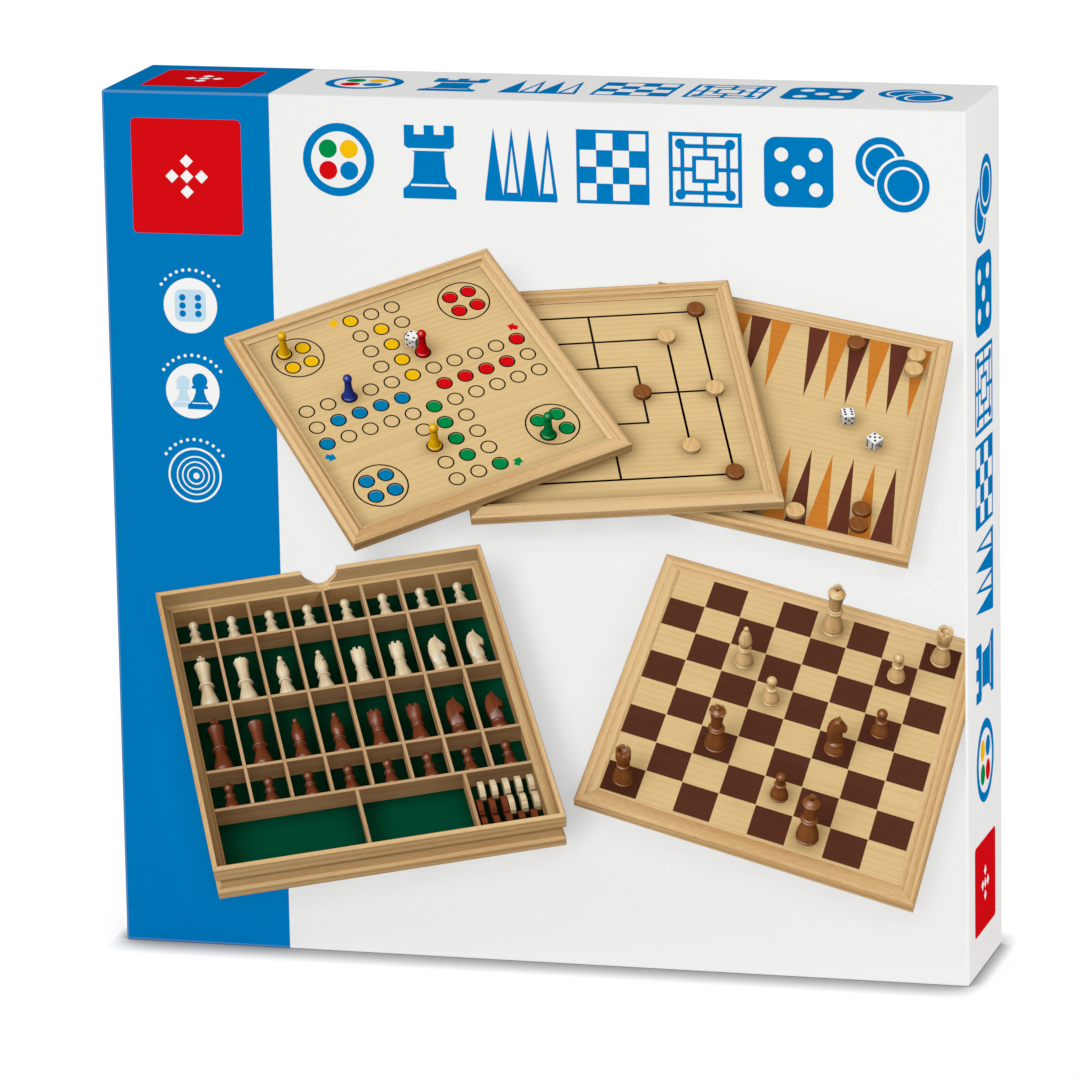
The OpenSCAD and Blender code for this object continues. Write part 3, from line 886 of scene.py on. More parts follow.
def queen(r, height, segments):
    body = height - 0.5 * r
    neck = 0.46 * body
    mesh = turned(stand(r, 0.48, neck, 0.74)
                  + flowing(rise(r, neck, (0.47, 0.46), (0.49, 0.9))
                            + rise(r, body, (0.56, -0.9), (0.74, -0.05)), 5)
                  + rise(r, body, (0.70, 0.02), (0.56, -0.1))
                  + flowing(rise(r, body, (0.52, -0.12), (0.36, -0.02), (0.18, 0.06)), 3)
                  + arc(0, height - 0.24 * r, 0.24 * r, -50, 90, 8), segments)
    for vert in mesh.verts:
        radius = vert.co.xy.length
        if radius > 0.5 * r and vert.co.z > body - 0.12 * r:
            wave = cos(8 * atan2(vert.co.y, vert.co.x)) - 1
            vert.co.z += 0.09 * r * wave * min(1, (radius / r - 0.48) / 0.1)
    return mesh


def bishop(r, height, segments):
    body = height - 0.5 * r
    neck = 0.42 * body
    mesh = turned(stand(r, 0.48, neck, 0.70)
                  + flowing(rise(r, neck, (0.46, 0.46), (0.58, 0.8), (0.68, 1.25), (0.62, 1.75))
                            + rise(r, body, (0.40, -0.35), (0.20, -0.03)), 5)
                  + arc(0, height - 0.27 * r, 0.27 * r, -48, 90, 8), segments)
    lean = spun(35, "Y").to_3x3()
    across, along = lean.col[0].copy(), lean.col[2].copy()
    place = Vector((0.34 * r, 0, neck + 1.85 * r))
    half = 0.06 * r
    for way in (-1, 1):
        head = [f for f in mesh.faces if f.calc_center_median().z > neck + 0.5 * r]
        cut_across(mesh, all_of(head), place + across * half * way, across)
    groove = []
    for face in mesh.faces:
        offset = face.calc_center_median() - place
        if abs(offset.dot(across)) < half * 0.99 and offset.dot(along) > -0.25 * r:
            groove.append(face)
    push(mesh, groove, -along * 0.42 * r)
    return mesh


def rook(r, height, segments):
    neck = 0.5 * height
    wall_foot = height - 0.3 * r
    mesh = turned(stand(r, 0.54, neck)
                  + arc(0.58 * r, neck + 0.13 * r, 0.1 * r, -90, 90, 5)
                  + flowing(rise(r, neck, (0.54, 0.28), (0.58, 0.6), (0.68, 1.0)), 3)
                  + rise(r, neck, (0.74, 1.1))
                  + rise(r, wall_foot, (0.74, 0), (0.50, 0), (0.48, -0.12), (0, -0.12)), segments)
    per_gap = segments // 6
    kept = []
    for face in mesh.faces:
        middle = face.calc_center_median()
        if face.normal.z > 0.9 and middle.xy.length > 0.5 * r and middle.z > wall_foot - 0.01:
            slice_number = int((atan2(middle.y, middle.x) / (2 * pi) % 1) * segments)
            if slice_number % per_gap >= max(1, per_gap // 4):
                kept.append(face)
    push(mesh, kept, (0, 0, height - wall_foot))
    return mesh


def pawn(r, height, segments):
    ball = 0.58 * r
    neck = 0.5 * height
    return turned(stand(r, 0.44, neck)
                  + arc(0.53 * r, neck + 0.16 * r, 0.13 * r, -90, 90, 6)
                  + flowing(rise(r, neck, (0.47, 0.32), (0.40, 0.5))
                            + rise(r, height - 1.72 * ball, (0.39, 0)), 3)
                  + arc(0, height - ball, ball, -48, 90, 12), segments)


# %% [markdown]
# ## The knight
# The knight's foot is turned and its head carved from a flat blank. The silhouette is
# drawn once, with smooth curves for chest, face and mane. Each half grows from it:
# a straight wall and then two insets that lean in, as a carver rounds the edge of a
# blank. A mirror makes the other half. Last, the head is thinned towards the muzzle.

# %% The knight
KNIGHT_R = 9.0
KNIGHT_H = 47.0
NOTCH = 0.35


def knight(r, height, segments):
    drum = 14.0 * height / KNIGHT_H
    foot = turned(stand(r, 0.7, drum - 0.35 * r)
                  + arc(0.68 * r, drum - 0.18 * r, 0.1 * r, -90, 90, 4)
                  + rise(r, drum, (0.66, 0), (0, 0)), segments)
    steps = 3 if segments > 24 else 1
    chest = flowing([(5.4, 13.6), (6.4, 18), (5.6, 22.5), (3.4, 26.4), (4.4, 28.4), (6.4, 28.0),
                     (8.2, 28.8), (8.4, 30.3)], steps)
    nose = flowing([(7.5, 30.7), (8.7, 31.3), (8.8, 33.2), (7.4, 35.6), (5.6, 38.6), (3.8, 41.2),
                    (2.9, 43.4)], steps)
    mane = flowing([(0.3, 43.6), (-1.6, 43.2), (-4.2, 41.0), (-6.2, 37.2), (-7.4, 32.4),
                    (-7.8, 27.0), (-7.2, 21.0), (-6.0, 13.6)], steps + 1)
    mane = [(x - NOTCH * (i % 2), z) for i, (x, z) in enumerate(mane)]
    head = bmesh.new()
    outline = chest + nose + [(1.5, 47.0)] + mane
    blank = head.faces.new([head.verts.new((x, 0, z)) for x, z in outline])
    blank.normal_update()
    if blank.normal.y > 0:
        blank.normal_flip()
    cheek = push(head, [blank], (0, -2.4, 0))
    for inset, depth in [(0.4, 0.75), (0.6, 0.55)]:
        bmesh.ops.inset_region(head, faces=cheek, thickness=inset, depth=depth,
                               use_even_offset=False)
    bmesh.ops.mirror(head, geom=everything(head), axis="Y", merge_dist=0.01)
    for vert in head.verts:
        up = (vert.co.z - drum) / (KNIGHT_H - drum)
        vert.co.y *= 1.12 - 0.25 * up - 0.22 * max(0.0, vert.co.x / KNIGHT_R)
    for way in (-1, 1):
        for x, z, size in [(4.9, 37.4, 0.75), (7.6, 32.7, 0.45)]:
            bmesh.ops.create_icosphere(head, subdivisions=2, radius=size,
                                       matrix=moved(x, way * (3.0 - 0.015 * z), z))
    bmesh.ops.recalc_face_normals(head, faces=head.faces)
    head.transform(sized(r / KNIGHT_R, r / KNIGHT_R, height / KNIGHT_H))
    return joined([foot, head])


# %% [markdown]
# ## Counters and dice
# A draught is a plain disc with rounded edges, and its faces are very slightly domed,
# as sanded wood is. A ludo pawn is a ball on a stout cone. A die is a cube with rounded
# edges; its pips are drawn as discs of ink, and opposite faces add up to seven.

# %% Draughts, ludo pawns and dice
def draught(r, thick, segments):
    half = (arc(r - 0.8, thick / 2 - 0.87, 0.8, 0, 84, 5)
            + [(0.8 * r, thick / 2 - 0.03), (0.45 * r, thick / 2), (0, thick / 2)])
    mesh = turned([(x, -z) for x, z in reversed(half)] + half, segments)
    mesh.transform(moved(z=thick / 2))
    return mesh


def ludo_pawn(r, height, segments):
    ball = 0.66 * r
    return turned([(0, 0), (r - 0.5, 0)] + arc(r - 0.5, 0.5, 0.5, -60, 0, 3) + [(r, 2.0)]
                  + arc(r - 0.6, 2.0, 0.6, 10, 80, 3)
                  + flowing([(0.84 * r, 3.0), (0.70 * r, 0.26 * height),
                             (0.56 * r, 0.45 * height), (0.49 * r, height - 1.67 * ball)], 5)
                  + arc(0, height - ball, ball, -42, 90, 12), segments)


PIPS = {1: [(0, 0)], 2: [(-1, 1), (1, -1)], 4: [(-1, 1), (1, 1), (-1, -1), (1, -1)]}
PIPS[3] = PIPS[2] + PIPS[1]
PIPS[5] = PIPS[4] + PIPS[1]
PIPS[6] = PIPS[4] + [(-1, 0), (1, 0)]
FRONT_TOP_AND_RIGHT = {5: (5, 6, 3), 3: (3, 5, 1), 6: (6, 4, 2)}


def die(side, front_number):
    """A die round the origin, with a number on its -Y face."""
    art = Print()
    cube = bmesh.ops.create_cube(art.mesh, size=side)
    eased(art.mesh, edges_of(cube["verts"]), 0.13 * side, 4)
    paint(art.mesh.faces, art.ink, WHITE)
    looks = [((0, -1, 0), (1, 0, 0)), ((0, 0, 1), (1, 0, 0)), ((1, 0, 0), (0, 1, 0))]
    for number, look in zip(FRONT_TOP_AND_RIGHT[front_number], looks):
        for shown, way in ((number, 1), (7 - number, -1)):
            out, across = (Vector(direction) * way for direction in look)
            pips = Print()
            for x, y in PIPS[shown]:
                pips.disc(x * 0.26 * side, y * 0.26 * side, 0.1 * side, BLACK, 0, 20)
            turn = Matrix((across, out.cross(across), out)).transposed().to_4x4()
            pips.mesh.transform(Matrix.Translation(out * (side / 2 + 0.01)) @ turn)
            art.mesh = joined([art.mesh, pips.mesh])
    return art.mesh


# %% [markdown]
# ## Finishes of the small pieces
# Lacquer is thick and glossy and pools a little, so its bump is a slow wave. The
# plastic of the dice is smoother and lets the ink attribute give the pips.

# %% Lacquer and plastic
def lacquer(name, colour):
    recipe = Recipe(name)
    where = recipe.add("TexCoord").outputs["Object"]
    shade = recipe.steps(recipe.noise(where, 260.0, 2.0),
                         (0.3, blend_colours(colour, (0, 0, 0), 0.22)), (0.62, colour))
    skin = recipe.bump(recipe.noise(where, 700.0, 1.0), 0.2, 0.0002)
    return recipe.finish(Base_Color=shade, Normal=skin, Roughness=0.24, Coat_Weight=0.35,
                         Coat_Roughness=0.1)


dice_plastic = printed_card("dice_plastic", 0.2, 0.004, gloss=0.4)
lacquers = {"red": RED, "blue": tint(36, 72, 176), "yellow": YELLOW, "green": GREEN}

# %% [markdown]
# ## Put the small pieces in their places
# The measured model has one solid for each piece, so its solids say where each one
# stands or lies. A solid's box gives its foot, its radius and its height.

# %% Place the chessmen and counters
FINE = 48
PAWN_FINE = 40


def solids_of(node):
    """The lowest and highest corner of each separate solid in a node, in millimetres."""
    mesh = merged_copy(node)
    left = set(mesh.verts)
    boxes = []
    while left:
        found, waiting = [], [left.pop()]
        while waiting:
            vert = waiting.pop()
            found.append(vert.co / MM)
            near = {edge.other_vert(vert) for edge in vert.link_edges} & left
            left -= near
            waiting.extend(near)
        boxes.append([Vector([pick(c[i] for c in found) for i in range(3)])
                      for pick in (min, max)])
    mesh.free()
    return sorted(boxes, key=lambda box: (round(box[0].z), box[0].x))


def fitted(low, high, make, facets, upright):
    """A turned piece as large as a solid's box, and the matrix that puts it there."""
    size, middle = high - low, (low + high) / 2
    if upright:
        part = make(size.x / 2, size.z, facets)
        put = moved(middle.x, middle.y, low.z)
    else:
        part = make(size.z / 2, size.x, facets)
        put = moved(low.x, middle.y, middle.z) @ spun(90, "Y")
    grain_along(part, "Z")
    return part, put


def small_pieces(node, body, material, make, facets=FINE, upright=True):
    """Puts a made piece in the place of each solid of a node."""
    parts = []
    for low, high in solids_of(node):
        part, put = fitted(low, high, make, facets, upright)
        if not upright:
            put = put @ Matrix.Rotation(chance.uniform(0, 6), 4, "Z")
        part.transform(Matrix.Scale(MM, 4) @ put)
        parts.append(part)
    print(node, "x", len(parts))
    add_piece(node + "_set", joined(parts), body, material, [node], 38)


MEN = {"king": king, "queen": queen, "bishops": bishop, "knights": knight, "rooks": rook,
       "pawns": pawn}
for tone, slot, material in [("light", "boxwood", boxwood), ("dark", "stained_wood", stained)]:
    for kind, make in MEN.items():
        small_pieces(f"{tone}_{kind}", "chessmen", material, make)
    small_pieces(f"{tone}_draughts", "counters", material, draught, FINE, False)
for name, colour in lacquers.items():
    small_pieces(f"{name}_pawns", "counters",
                 lacquer(f"{name}_lacquer", colour), ludo_pawn, PAWN_FINE, False)
dice_parts = []
for (low, high), number in zip(solids_of("dice"), (5, 3)):
    cube = die(high.x - low.x, number)
    cube.transform(Matrix.Scale(MM, 4) @ Matrix.Translation((low + high) / 2))
    dice_parts.append(cube)
add_piece("dice_pair", joined(dice_parts), "counters", dice_plastic, ["dice"], 38)

# %% [markdown]
# ## The four game fields
# The fields are traditional, and each is drawn by a function that takes its inks. So
# the same drawing serves the wooden boards, the thin line drawings on the back of the
# carton, and the boards that are pictured on the front.

# %% Draw the game fields
FIELD = 264.0
CHEQUER = FIELD / 8
LINE = 1.6
CREAM = tint(228, 198, 144)
DARK_SQUARE = tint(92, 52, 38)
POINT_BROWN = tint(104, 56, 42)
POINT_ORANGE = tint(210, 130, 48)
LUDO_BLUE = tint(0, 126, 178)
LUDO_STEP = 23.4
LUDO_SPOT = 8.4
HOME = [(0, y) for y in range(1, 5)]
YARD = [(-4.44, 4.44), (-3.56, 4.44), (-4.44, 3.56), (-3.56, 3.56)]
ARM = [(-1, 4), (-1, 3), (-1, 2), (-1, 1), (-2, 1), (-3, 1), (-4, 1), (-5, 1), (-5, 0)]
ARROW = [(-3, 5), (-3, 0), (-6, 0), (0, -6), (6, 0), (3, 0), (3, 5)]
MILL_SIDES = (220.0, 148.0, 76.0)


def chess_field(art, dark=DARK_SQUARE, line=None):
    """Chequers round the origin, with a dark square at the left of the nearest row."""
    for row in range(8):
        for column in range(row % 2, 8, 2):
            art.plate((column - 4) * CHEQUER + 0.2, (row - 4) * CHEQUER + 0.2,
                      CHEQUER - 0.4, CHEQUER - 0.4, dark, grain=0.3)
    if line:
        art.square_ring(0, 0, FIELD + 3 * LINE, LINE, line)


def backgammon_field(art, first=POINT_BROWN, second=POINT_ORANGE, line=None):
    """Two tables of twelve points on each side, parted by the bar."""
    bar, width, reach = 18.0, 20.4, 98.0
    for side in (-1, 1):
        edge = side * (FIELD / 2 - 0.3)
        for i in range(12):
            middle = (i - 5.5) * width + (bar / 2 if i > 5 else -bar / 2)
            art.shape([(middle - width / 2 + 0.1, edge), (middle + width / 2 - 0.1, edge),
                       (middle, edge - side * reach)],
                      first if (i + (side > 0)) % 2 else second, grain=0.3)
    if line:
        for x in (-bar / 2, bar / 2):
            art.bar((x, 4 - FIELD / 2), (x, FIELD / 2 - 4), 1.0, line)


def mill_field(art, ink=BLACK, width=2.4):
    """Three squares, one in another, joined at the middles of their sides."""
    for side in MILL_SIDES:
        art.square_ring(0, 0, side + width, width, ink)
    for spin in QUARTERS:
        way = spin @ Vector((0.5, 0))
        art.bar(way * MILL_SIDES[2], way * MILL_SIDES[0], width, ink, 2)


def ludo_field(art, colours=(YELLOW, LUDO_BLUE, GREEN, RED), line=BLACK, filled=True):
    """A cross of forty spots, four rows home, and a yard in each corner."""
    arrow_turn = Matrix.Rotation(radians(-40), 2)
    for spin, colour in zip(QUARTERS, colours):
        for x, y in [(-1, 5), *ARM, *HOME, *YARD]:
            middle = spin @ Vector((x, y)) * LUDO_STEP
            art.ring(*middle, LUDO_SPOT, LINE, line, 2, 28)
            if filled and (x, y) not in ARM:
                art.disc(*middle, LUDO_SPOT - LINE * 0.9, colour, 1, 28)
        yard = spin @ Vector((-4, 4)) * LUDO_STEP
        art.ring(*yard, 1.16 * LUDO_STEP, LINE, line, 2, 48)
        beside = Vector((-1.72, 5.2)) * LUDO_STEP
        art.shape([spin @ (arrow_turn @ Vector(p) + beside) for p in ARROW],
                  colour if filled else line)


# %% Print the boards and the back
for name, node, body, way, draw in [
        ("chess", "chess_ludo_panel", "chess_board", 1, chess_field),
        ("ludo", "chess_ludo_panel", "chess_board", -1, ludo_field),
        ("mill", "mill_backgammon_panel", "mill_board", 1, mill_field),
        ("backgammon", "mill_backgammon_panel", "mill_board", -1, backgammon_field)]:
    low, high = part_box(node)
    face = ((low.x + high.x) / 2, low.y if way > 0 else high.y, (low.z + high.z) / 2)
    art = Print()
    draw(art)
    stick(art, f"{name}_field_print", wall(face, (way, 0, 0), (0, 0, 1)), body,
          board_ink)

back_print = Print()
for x, y, draw, inks in [(-89, 42, ludo_field, ([BLUE] * 4, BLUE, False)),
                         (25, 42, mill_field, (BLUE, 3.0)),
                         (-89, -72, chess_field, (BLUE, BLUE)),
                         (25, -72, backgammon_field, (BLUE, PALE_BLUE, BLUE))]:
    back_print.at(x, y, 0.38)
    draw(back_print, *inks)
    back_print.at(x, y)
    back_print.square_ring(0, 0, 104, 0.7, BLUE)
band(back_print, -138.0, 112.0, 24.0, 212.0)
back_middle = (0, base_high.y, (base_low.z + base_high.z) / 2)
stick(back_print, "base_print_back", wall(back_middle, (-1, 0, 0), (0, 0, 1)), "base",
      print_film)

# %% [markdown]
# ## The felt
# The case is lined with one square of green felt. Felt is pressed wool without a
# weave, so its surface is all short fibres: two noises, one drawn out one way and one
# the other, tangle them. A sheen at the edges of the view gives the soft bloom, and
# the sheet itself is slightly uneven, as it is glued by hand.

# %% Lay the felt
felt_recipe = Recipe("green_felt")
felt_where = felt_recipe.add("TexCoord").outputs["Object"]
tangles = [felt_recipe.noise(felt_recipe.out("Mapping", Vector=felt_where, Scale=stretch),
                             2600.0, 3.0, 0.7)
           for stretch in [(1.0, 1.0, 0.22), (0.22, 1.0, 1.0)]]
tangle = felt_recipe.mix(0.5, *tangles)
felt_tone = felt_recipe.steps(tangle, (0.34, tint(0, 44, 32)), (0.5, tint(2, 74, 54)),
                              (0.66, tint(24, 104, 80)))
wool = felt_recipe.finish(Base_Color=felt_tone, Normal=felt_recipe.bump(tangle, 0.6, 0.0004),
                          Roughness=0.95, Specular_IOR_Level=0.1, Sheen_Weight=0.35,
                          Sheen_Roughness=0.5)


def thicken(piece, thickness, offset):
    """Gives a sheet its thickness, behind it or on both sides."""
    layer = piece.modifiers.new("thickness", "SOLIDIFY")
    layer.thickness = thickness
    layer.offset = offset


felt_low, felt_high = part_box("felt_lining")
felt_middle, felt_size = (felt_low + felt_high) / 2, felt_high - felt_low
felt_mesh = bmesh.new()
bmesh.ops.create_grid(felt_mesh, x_segments=90, y_segments=90, size=0.5,
                      matrix=moved(felt_middle.x, felt_low.y, felt_middle.z) @ spun(90, "X")
                      @ sized(felt_size.x - 0.4 * MM, felt_size.z - 0.4 * MM))
for vert in felt_mesh.verts:
    vert.co.y += chance.uniform(0, 0.06) * MM
bmesh.ops.recalc_face_normals(felt_mesh, faces=felt_mesh.faces)
if felt_mesh.faces[:][0].normal.y > 0:
    bmesh.ops.reverse_faces(felt_mesh, faces=felt_mesh.faces)
felt = add_piece("felt_sheet", felt_mesh, "case", wool, ["felt_lining"], 60)
thicken(felt, 0.9 * MM, -1)

# %% [markdown]
# ## The rules leaflet
# The leaflet is three sheets folded together. Each sheet is a line drawn in the shape
# of a U, pulled up to the leaflet's height and given the thickness of paper, and the
# inner ones are a little narrower, as folded pages creep. The cover carries the row of
# signs over a small ludo field.

# %% Fold the leaflet
leaf_low, leaf_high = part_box("rules_leaflet")
leaf_y = (leaf_low.y + leaf_high.y) / 2
SHEET = 0.2 * MM
leaves = bmesh.new()
for order, reach in enumerate((0.6 * MM, 0.36 * MM, 0.12 * MM)):
    bend_x = leaf_low.x + SHEET / 2 + reach + order * 0.1 * MM
    far_x = leaf_high.x - order * 0.4 * MM
    path = [(far_x, leaf_y + reach), *arc(bend_x, leaf_y, reach, 90, 270, 8),
            (far_x, leaf_y - reach)]
    line = strung(leaves, [(x, y, leaf_low.z) for x, y in path])[1]
    pulled = bmesh.ops.extrude_edge_only(leaves, edges=line)
    bmesh.ops.translate(leaves, vec=(0, 0, leaf_high.z - leaf_low.z), verts=new_verts(pulled))
bmesh.ops.recalc_face_normals(leaves, faces=leaves.faces)
paint(leaves.faces, leaves.loops.layers.float_color.new("ink"), PAPER)
leaflet = add_piece("leaflet_pages", leaves, "leaflet",
                    printed_card("leaflet_paper", 0.72, 0.03), ["rules_leaflet"], 40)
thicken(leaflet, SHEET, 0)

cover = Print()
cover.plate(-70, 176, 140, 26, BLUE)
cover.plate(-70, 8, 140, 4, BLUE)
band(cover, -66.0, 180.0, 15.0, 132.0, WHITE, BLUE)
cover.at(0, 92, 0.5)
ludo_field(cover)
cover.at(0, 92)
cover.square_ring(0, 0, 134, 1.0, BLUE)
stick(cover, "leaflet_print", wall((0, leaf_low.y, leaf_low.z), (1, 0, 0), (0, 0, 1)), "leaflet",
      print_film)

# %% [markdown]
# ## A picture of the set on the front
# The front shows the wooden set photographed on white. This picture isn't an image
# file: the same boards, men and counters are laid out once more as a small stage, and
# then pressed flat on the card like a coin's relief, a third of a millimetre high.
# A point's place on the card comes from a camera of the picture's own. Its height
# comes from one divided by its distance, because that stays straight along every flat
# face, so nearer things lie over farther ones and no face bends.

# %% The picture's camera
LOOK_DOWN = radians(50)
EYE_REACH = 2300.0
PRINT_SIZE = 0.40 * EYE_REACH
PICTURE_MIDDLE = Vector((6, 146))
RELIEF = 1 / 320
to_eye = Vector((0, -cos(LOOK_DOWN), sin(LOOK_DOWN)))
eye_up = Vector((0, sin(LOOK_DOWN), cos(LOOK_DOWN)))
eye = to_eye * EYE_REACH


def on_card(point):
    """The place on the card of a point of the stage, and how far it stands out."""
    near = 1 / (EYE_REACH - point.dot(to_eye))
    across, up = point.x * near, point.dot(eye_up) * near
    ground = (to_eye.z - up * eye_up.z) / eye.z
    return Vector((across * PRINT_SIZE + PICTURE_MIDDLE.x, up * PRINT_SIZE + PICTURE_MIDDLE.y,
                   RELIEF * EYE_REACH ** 2 * (near - ground)))


def floor_point(x, y):
    """The point on the stage's floor that is seen at a place on the card."""
    across, up = (Vector((x, y)) - PICTURE_MIDDLE) / PRINT_SIZE
    ray = Vector((across, 0, 0)) + eye_up * up - to_eye
    return eye - ray * (eye.z / ray.z)


# %% [markdown]
# ## Set the stage
# Each thing on the stage is a mesh with its ink and its wood attributes. Large faces
# are cut into cells, so that soft shadows can fall on them. The case is the finished
# case itself, laid on its back, and so are the boards' rails.

# %% Things for the stage
PINE_INK = tint(232, 201, 154)
DIVIDER_INK = tint(206, 172, 132)
FELT_INK = tint(2, 78, 54)
LIGHT_MAN = tint(232, 196, 142)
DARK_MAN = tint(142, 88, 48)
PAWN_BLUE = tint(48, 66, 166)
PACKED_TONES = {"light": tint(238, 222, 190), "dark": tint(126, 66, 40)}
STAGE_SIZES = {king: (10, 65), queen: (10, 56), bishop: (9, 50), knight: (9, 47), rook: (9, 43),
               pawn: (8, 32), ludo_pawn: (6.8, 29.8), draught: (9.1, 5.5)}
STAGE_FACETS = 24
PACKED_FACETS = 14
RAIL_CELL = 12
PANEL_CELLS = 48
BOARD_T = 13.0
BOARD_DROP = 0.5
case_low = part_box("case_rail_bottom")[0] / MM
case_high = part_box("case_rail_top")[1] / MM
LAID_FLAT = moved(0, -(case_low.z + case_high.z) / 2, case_high.y) @ spun(-90, "X")
stage_parts = []
stage_prints = []


def spot(x, y, turn=0.0, z=0.0):
    """A place on the stage: millimetres to the right and back, and degrees turned."""
    return moved(x, y, z) @ spun(turn)


def cut_cells(mesh, cell):
    """Cuts a mesh along planes across X and Y, a cell apart."""
    for way in (Vector((1, 0, 0)), Vector((0, 1, 0))):
        reach = [vert.co.dot(way) for vert in mesh.verts]
        for i in range(int((max(reach) - min(reach)) / cell)):
            cut_across(mesh, everything(mesh), way * (min(reach) + (i + 1) * cell), way)


def put_on_stage(mesh, place, colour=None, grain=0.6, cell=None, smooth=False):
    """Inks a mesh, cuts it and stands it on the stage."""
    ink = mesh.loops.layers.float_color.get("ink") or mesh.loops.layers.float_color.new("ink")
    if not mesh.verts.layers.float_vector.get("wood"):
        grain_along(mesh, "Z")
    for face in mesh.faces:
        face.smooth = smooth
    if colour:
        paint(mesh.faces, ink, colour, grain)
    if cell:
        cut_cells(mesh, cell)
    mesh.transform(place)
    stage_parts.append(mesh)


def finished(node):
    """A copy of a finished wooden piece, in millimetres and laid on its back."""
    mesh = bmesh.new()
    mesh.from_mesh(bpy.data.objects[node + "_wood"].data)
    mesh.transform(LAID_FLAT @ Matrix.Scale(1 / MM, 4))
    return mesh


def stage_case(place):
    """The open case, with the chessmen and the draughts in their compartments."""
    for side in LONG_WAY:
        put_on_stage(finished(f"case_rail_{side}"), place, PINE_INK, 1.0, 14)
    for node in DIVIDER_AXES:
        put_on_stage(finished(node), place, DIVIDER_INK, 0.6, RAIL_CELL)
    lining = bmesh.new()
    bmesh.ops.create_grid(lining, x_segments=40, y_segments=40, size=143, matrix=moved(z=5))
    put_on_stage(lining, place, FELT_INK, 0)
    for tone, colour in PACKED_TONES.items():
        for kind, make in [*MEN.items(), ("draughts", draught)]:
            upright = make is not draught
            for low, high in solids_of(f"{tone}_{kind}")[::1 if upright else 2]:
                part, lie = fitted(low, high, make, PACKED_FACETS, upright)
                put_on_stage(part, place @ LAID_FLAT @ lie, colour, smooth=upright)


def stage_board(place, draw):
    """A board with one face up: its rails, its panel and the print on it."""
    board = "chess_ludo" if draw in (chess_field, ludo_field) else "mill_backgammon"
    front = draw in (chess_field, mill_field)
    height = BOARD_T - (0.5 if draw is chess_field else 4.5)
    rails = [finished(f"{board}_rail_{side}") for side in LONG_WAY]
    low = min(vert.co.z for vert in rails[0].verts)
    panel = bmesh.new()
    bmesh.ops.create_grid(panel, x_segments=PANEL_CELLS, y_segments=PANEL_CELLS, size=FIELD / 2,
                          matrix=moved(z=height))
    grain_along(panel, "X")
    for rail in rails:
        rail.transform(moved(0, BOARD_DROP, BOARD_T / 2) @ spun(0 if front else 180, "Y")
                       @ moved(z=-low - BOARD_T / 2))
        put_on_stage(rail, place, PINE_INK, 1.0, RAIL_CELL)
    put_on_stage(panel, place, CREAM, 0.3)
    art = Print()
    draw(art)
    if draw in (chess_field, backgammon_field):
        cut_cells(art.mesh, RAIL_CELL)
    put_on_stage(art.mesh, place @ moved(z=height + 0.4) @ sized(1, 1, 30))
    stage_prints.append(stage_parts.pop())
    return place @ moved(z=height + 1)


def stage_men(top, step, men, turn=0):
    """Men on a board: each is a function, a colour, and a place counted in steps."""
    for make, colour, x, y in men:
        put_on_stage(make(*STAGE_SIZES[make], STAGE_FACETS), top @ spot(x * step, y * step, turn),
                     colour, smooth=True)


# %% Lay out the stage
stage_case(spot(-178, -188, 14))
chess_top = stage_board(spot(206, -163, -18), chess_field)
stage_men(chess_top, CHEQUER, [(king, LIGHT_MAN, 0.5, 3.5), (rook, LIGHT_MAN, 3.5, 3.5),
                               (bishop, LIGHT_MAN, -1.5, 1.5), (pawn, LIGHT_MAN, 2.5, 2.5),
                               (pawn, LIGHT_MAN, -0.5, 0.5)], 200)
stage_men(chess_top, CHEQUER, [(knight, DARK_MAN, 1.5, -0.5), (queen, DARK_MAN, -1.5, -1.5),
                               (pawn, DARK_MAN, 2.5, 0.5), (pawn, DARK_MAN, 0.5, -2.5),
                               (king, DARK_MAN, 1.5, -3.5), (rook, DARK_MAN, -3.5, -3.5)], 20)
ludo_top = stage_board(spot(-122, 202, 28, 26), ludo_field)
stage_men(ludo_top, LUDO_STEP, [(ludo_pawn, YELLOW, -4.44, 4.44), (ludo_pawn, RED, 1, 2),
                                (ludo_pawn, YELLOW, -1, -3), (ludo_pawn, GREEN, 3.56, -4.44),
                                (ludo_pawn, PAWN_BLUE, -3, 1)])
mill_top = stage_board(spot(56, 216, 7, 13), mill_field)
stage_men(mill_top, 1, [(draught, DARK_MAN, 110, 110), (draught, LIGHT_MAN, 74, 74),
                        (draught, DARK_MAN, 38, 0), (draught, LIGHT_MAN, 110, 0),
                        (draught, DARK_MAN, 110, -110), (draught, LIGHT_MAN, 74, -74)])
points_top = stage_board(spot(226, 210, -14), backgammon_field)
stage_men(points_top, 1, [(draught, LIGHT_MAN, 118, 119), (draught, LIGHT_MAN, 118, 99),
                          (draught, DARK_MAN, 58, 119), (draught, DARK_MAN, 98, -119),
                          (draught, DARK_MAN, 98, -99), (draught, LIGHT_MAN, 38, -119)])
for number, top, x, y, turn in [(5, points_top, 66, 14, 20), (3, points_top, 96, -12, 55),
                                (6, ludo_top, 20, 62, 35)]:
    put_on_stage(die(12.5, number), top @ spot(x, y, turn, 6.3))
stage = joined(stage_parts)
print("stage:", len(stage.faces), "faces")

# %% [markdown]
# ## Light the stage
# A photograph carries its own light and shadow, so these are worked out once and kept
# in the ink. From every corner of every face, rays go out over a fixed globe of
# directions. Those that get away gather light from a white room, and a few more look
# for a broad lamp at the upper left. So few rays leave steps in a shadow's edge, so
# each flat corner then shares its light with its neighbours. Polished wood also gets a
# small highlight. Faces that the picture's camera can't see are left out.

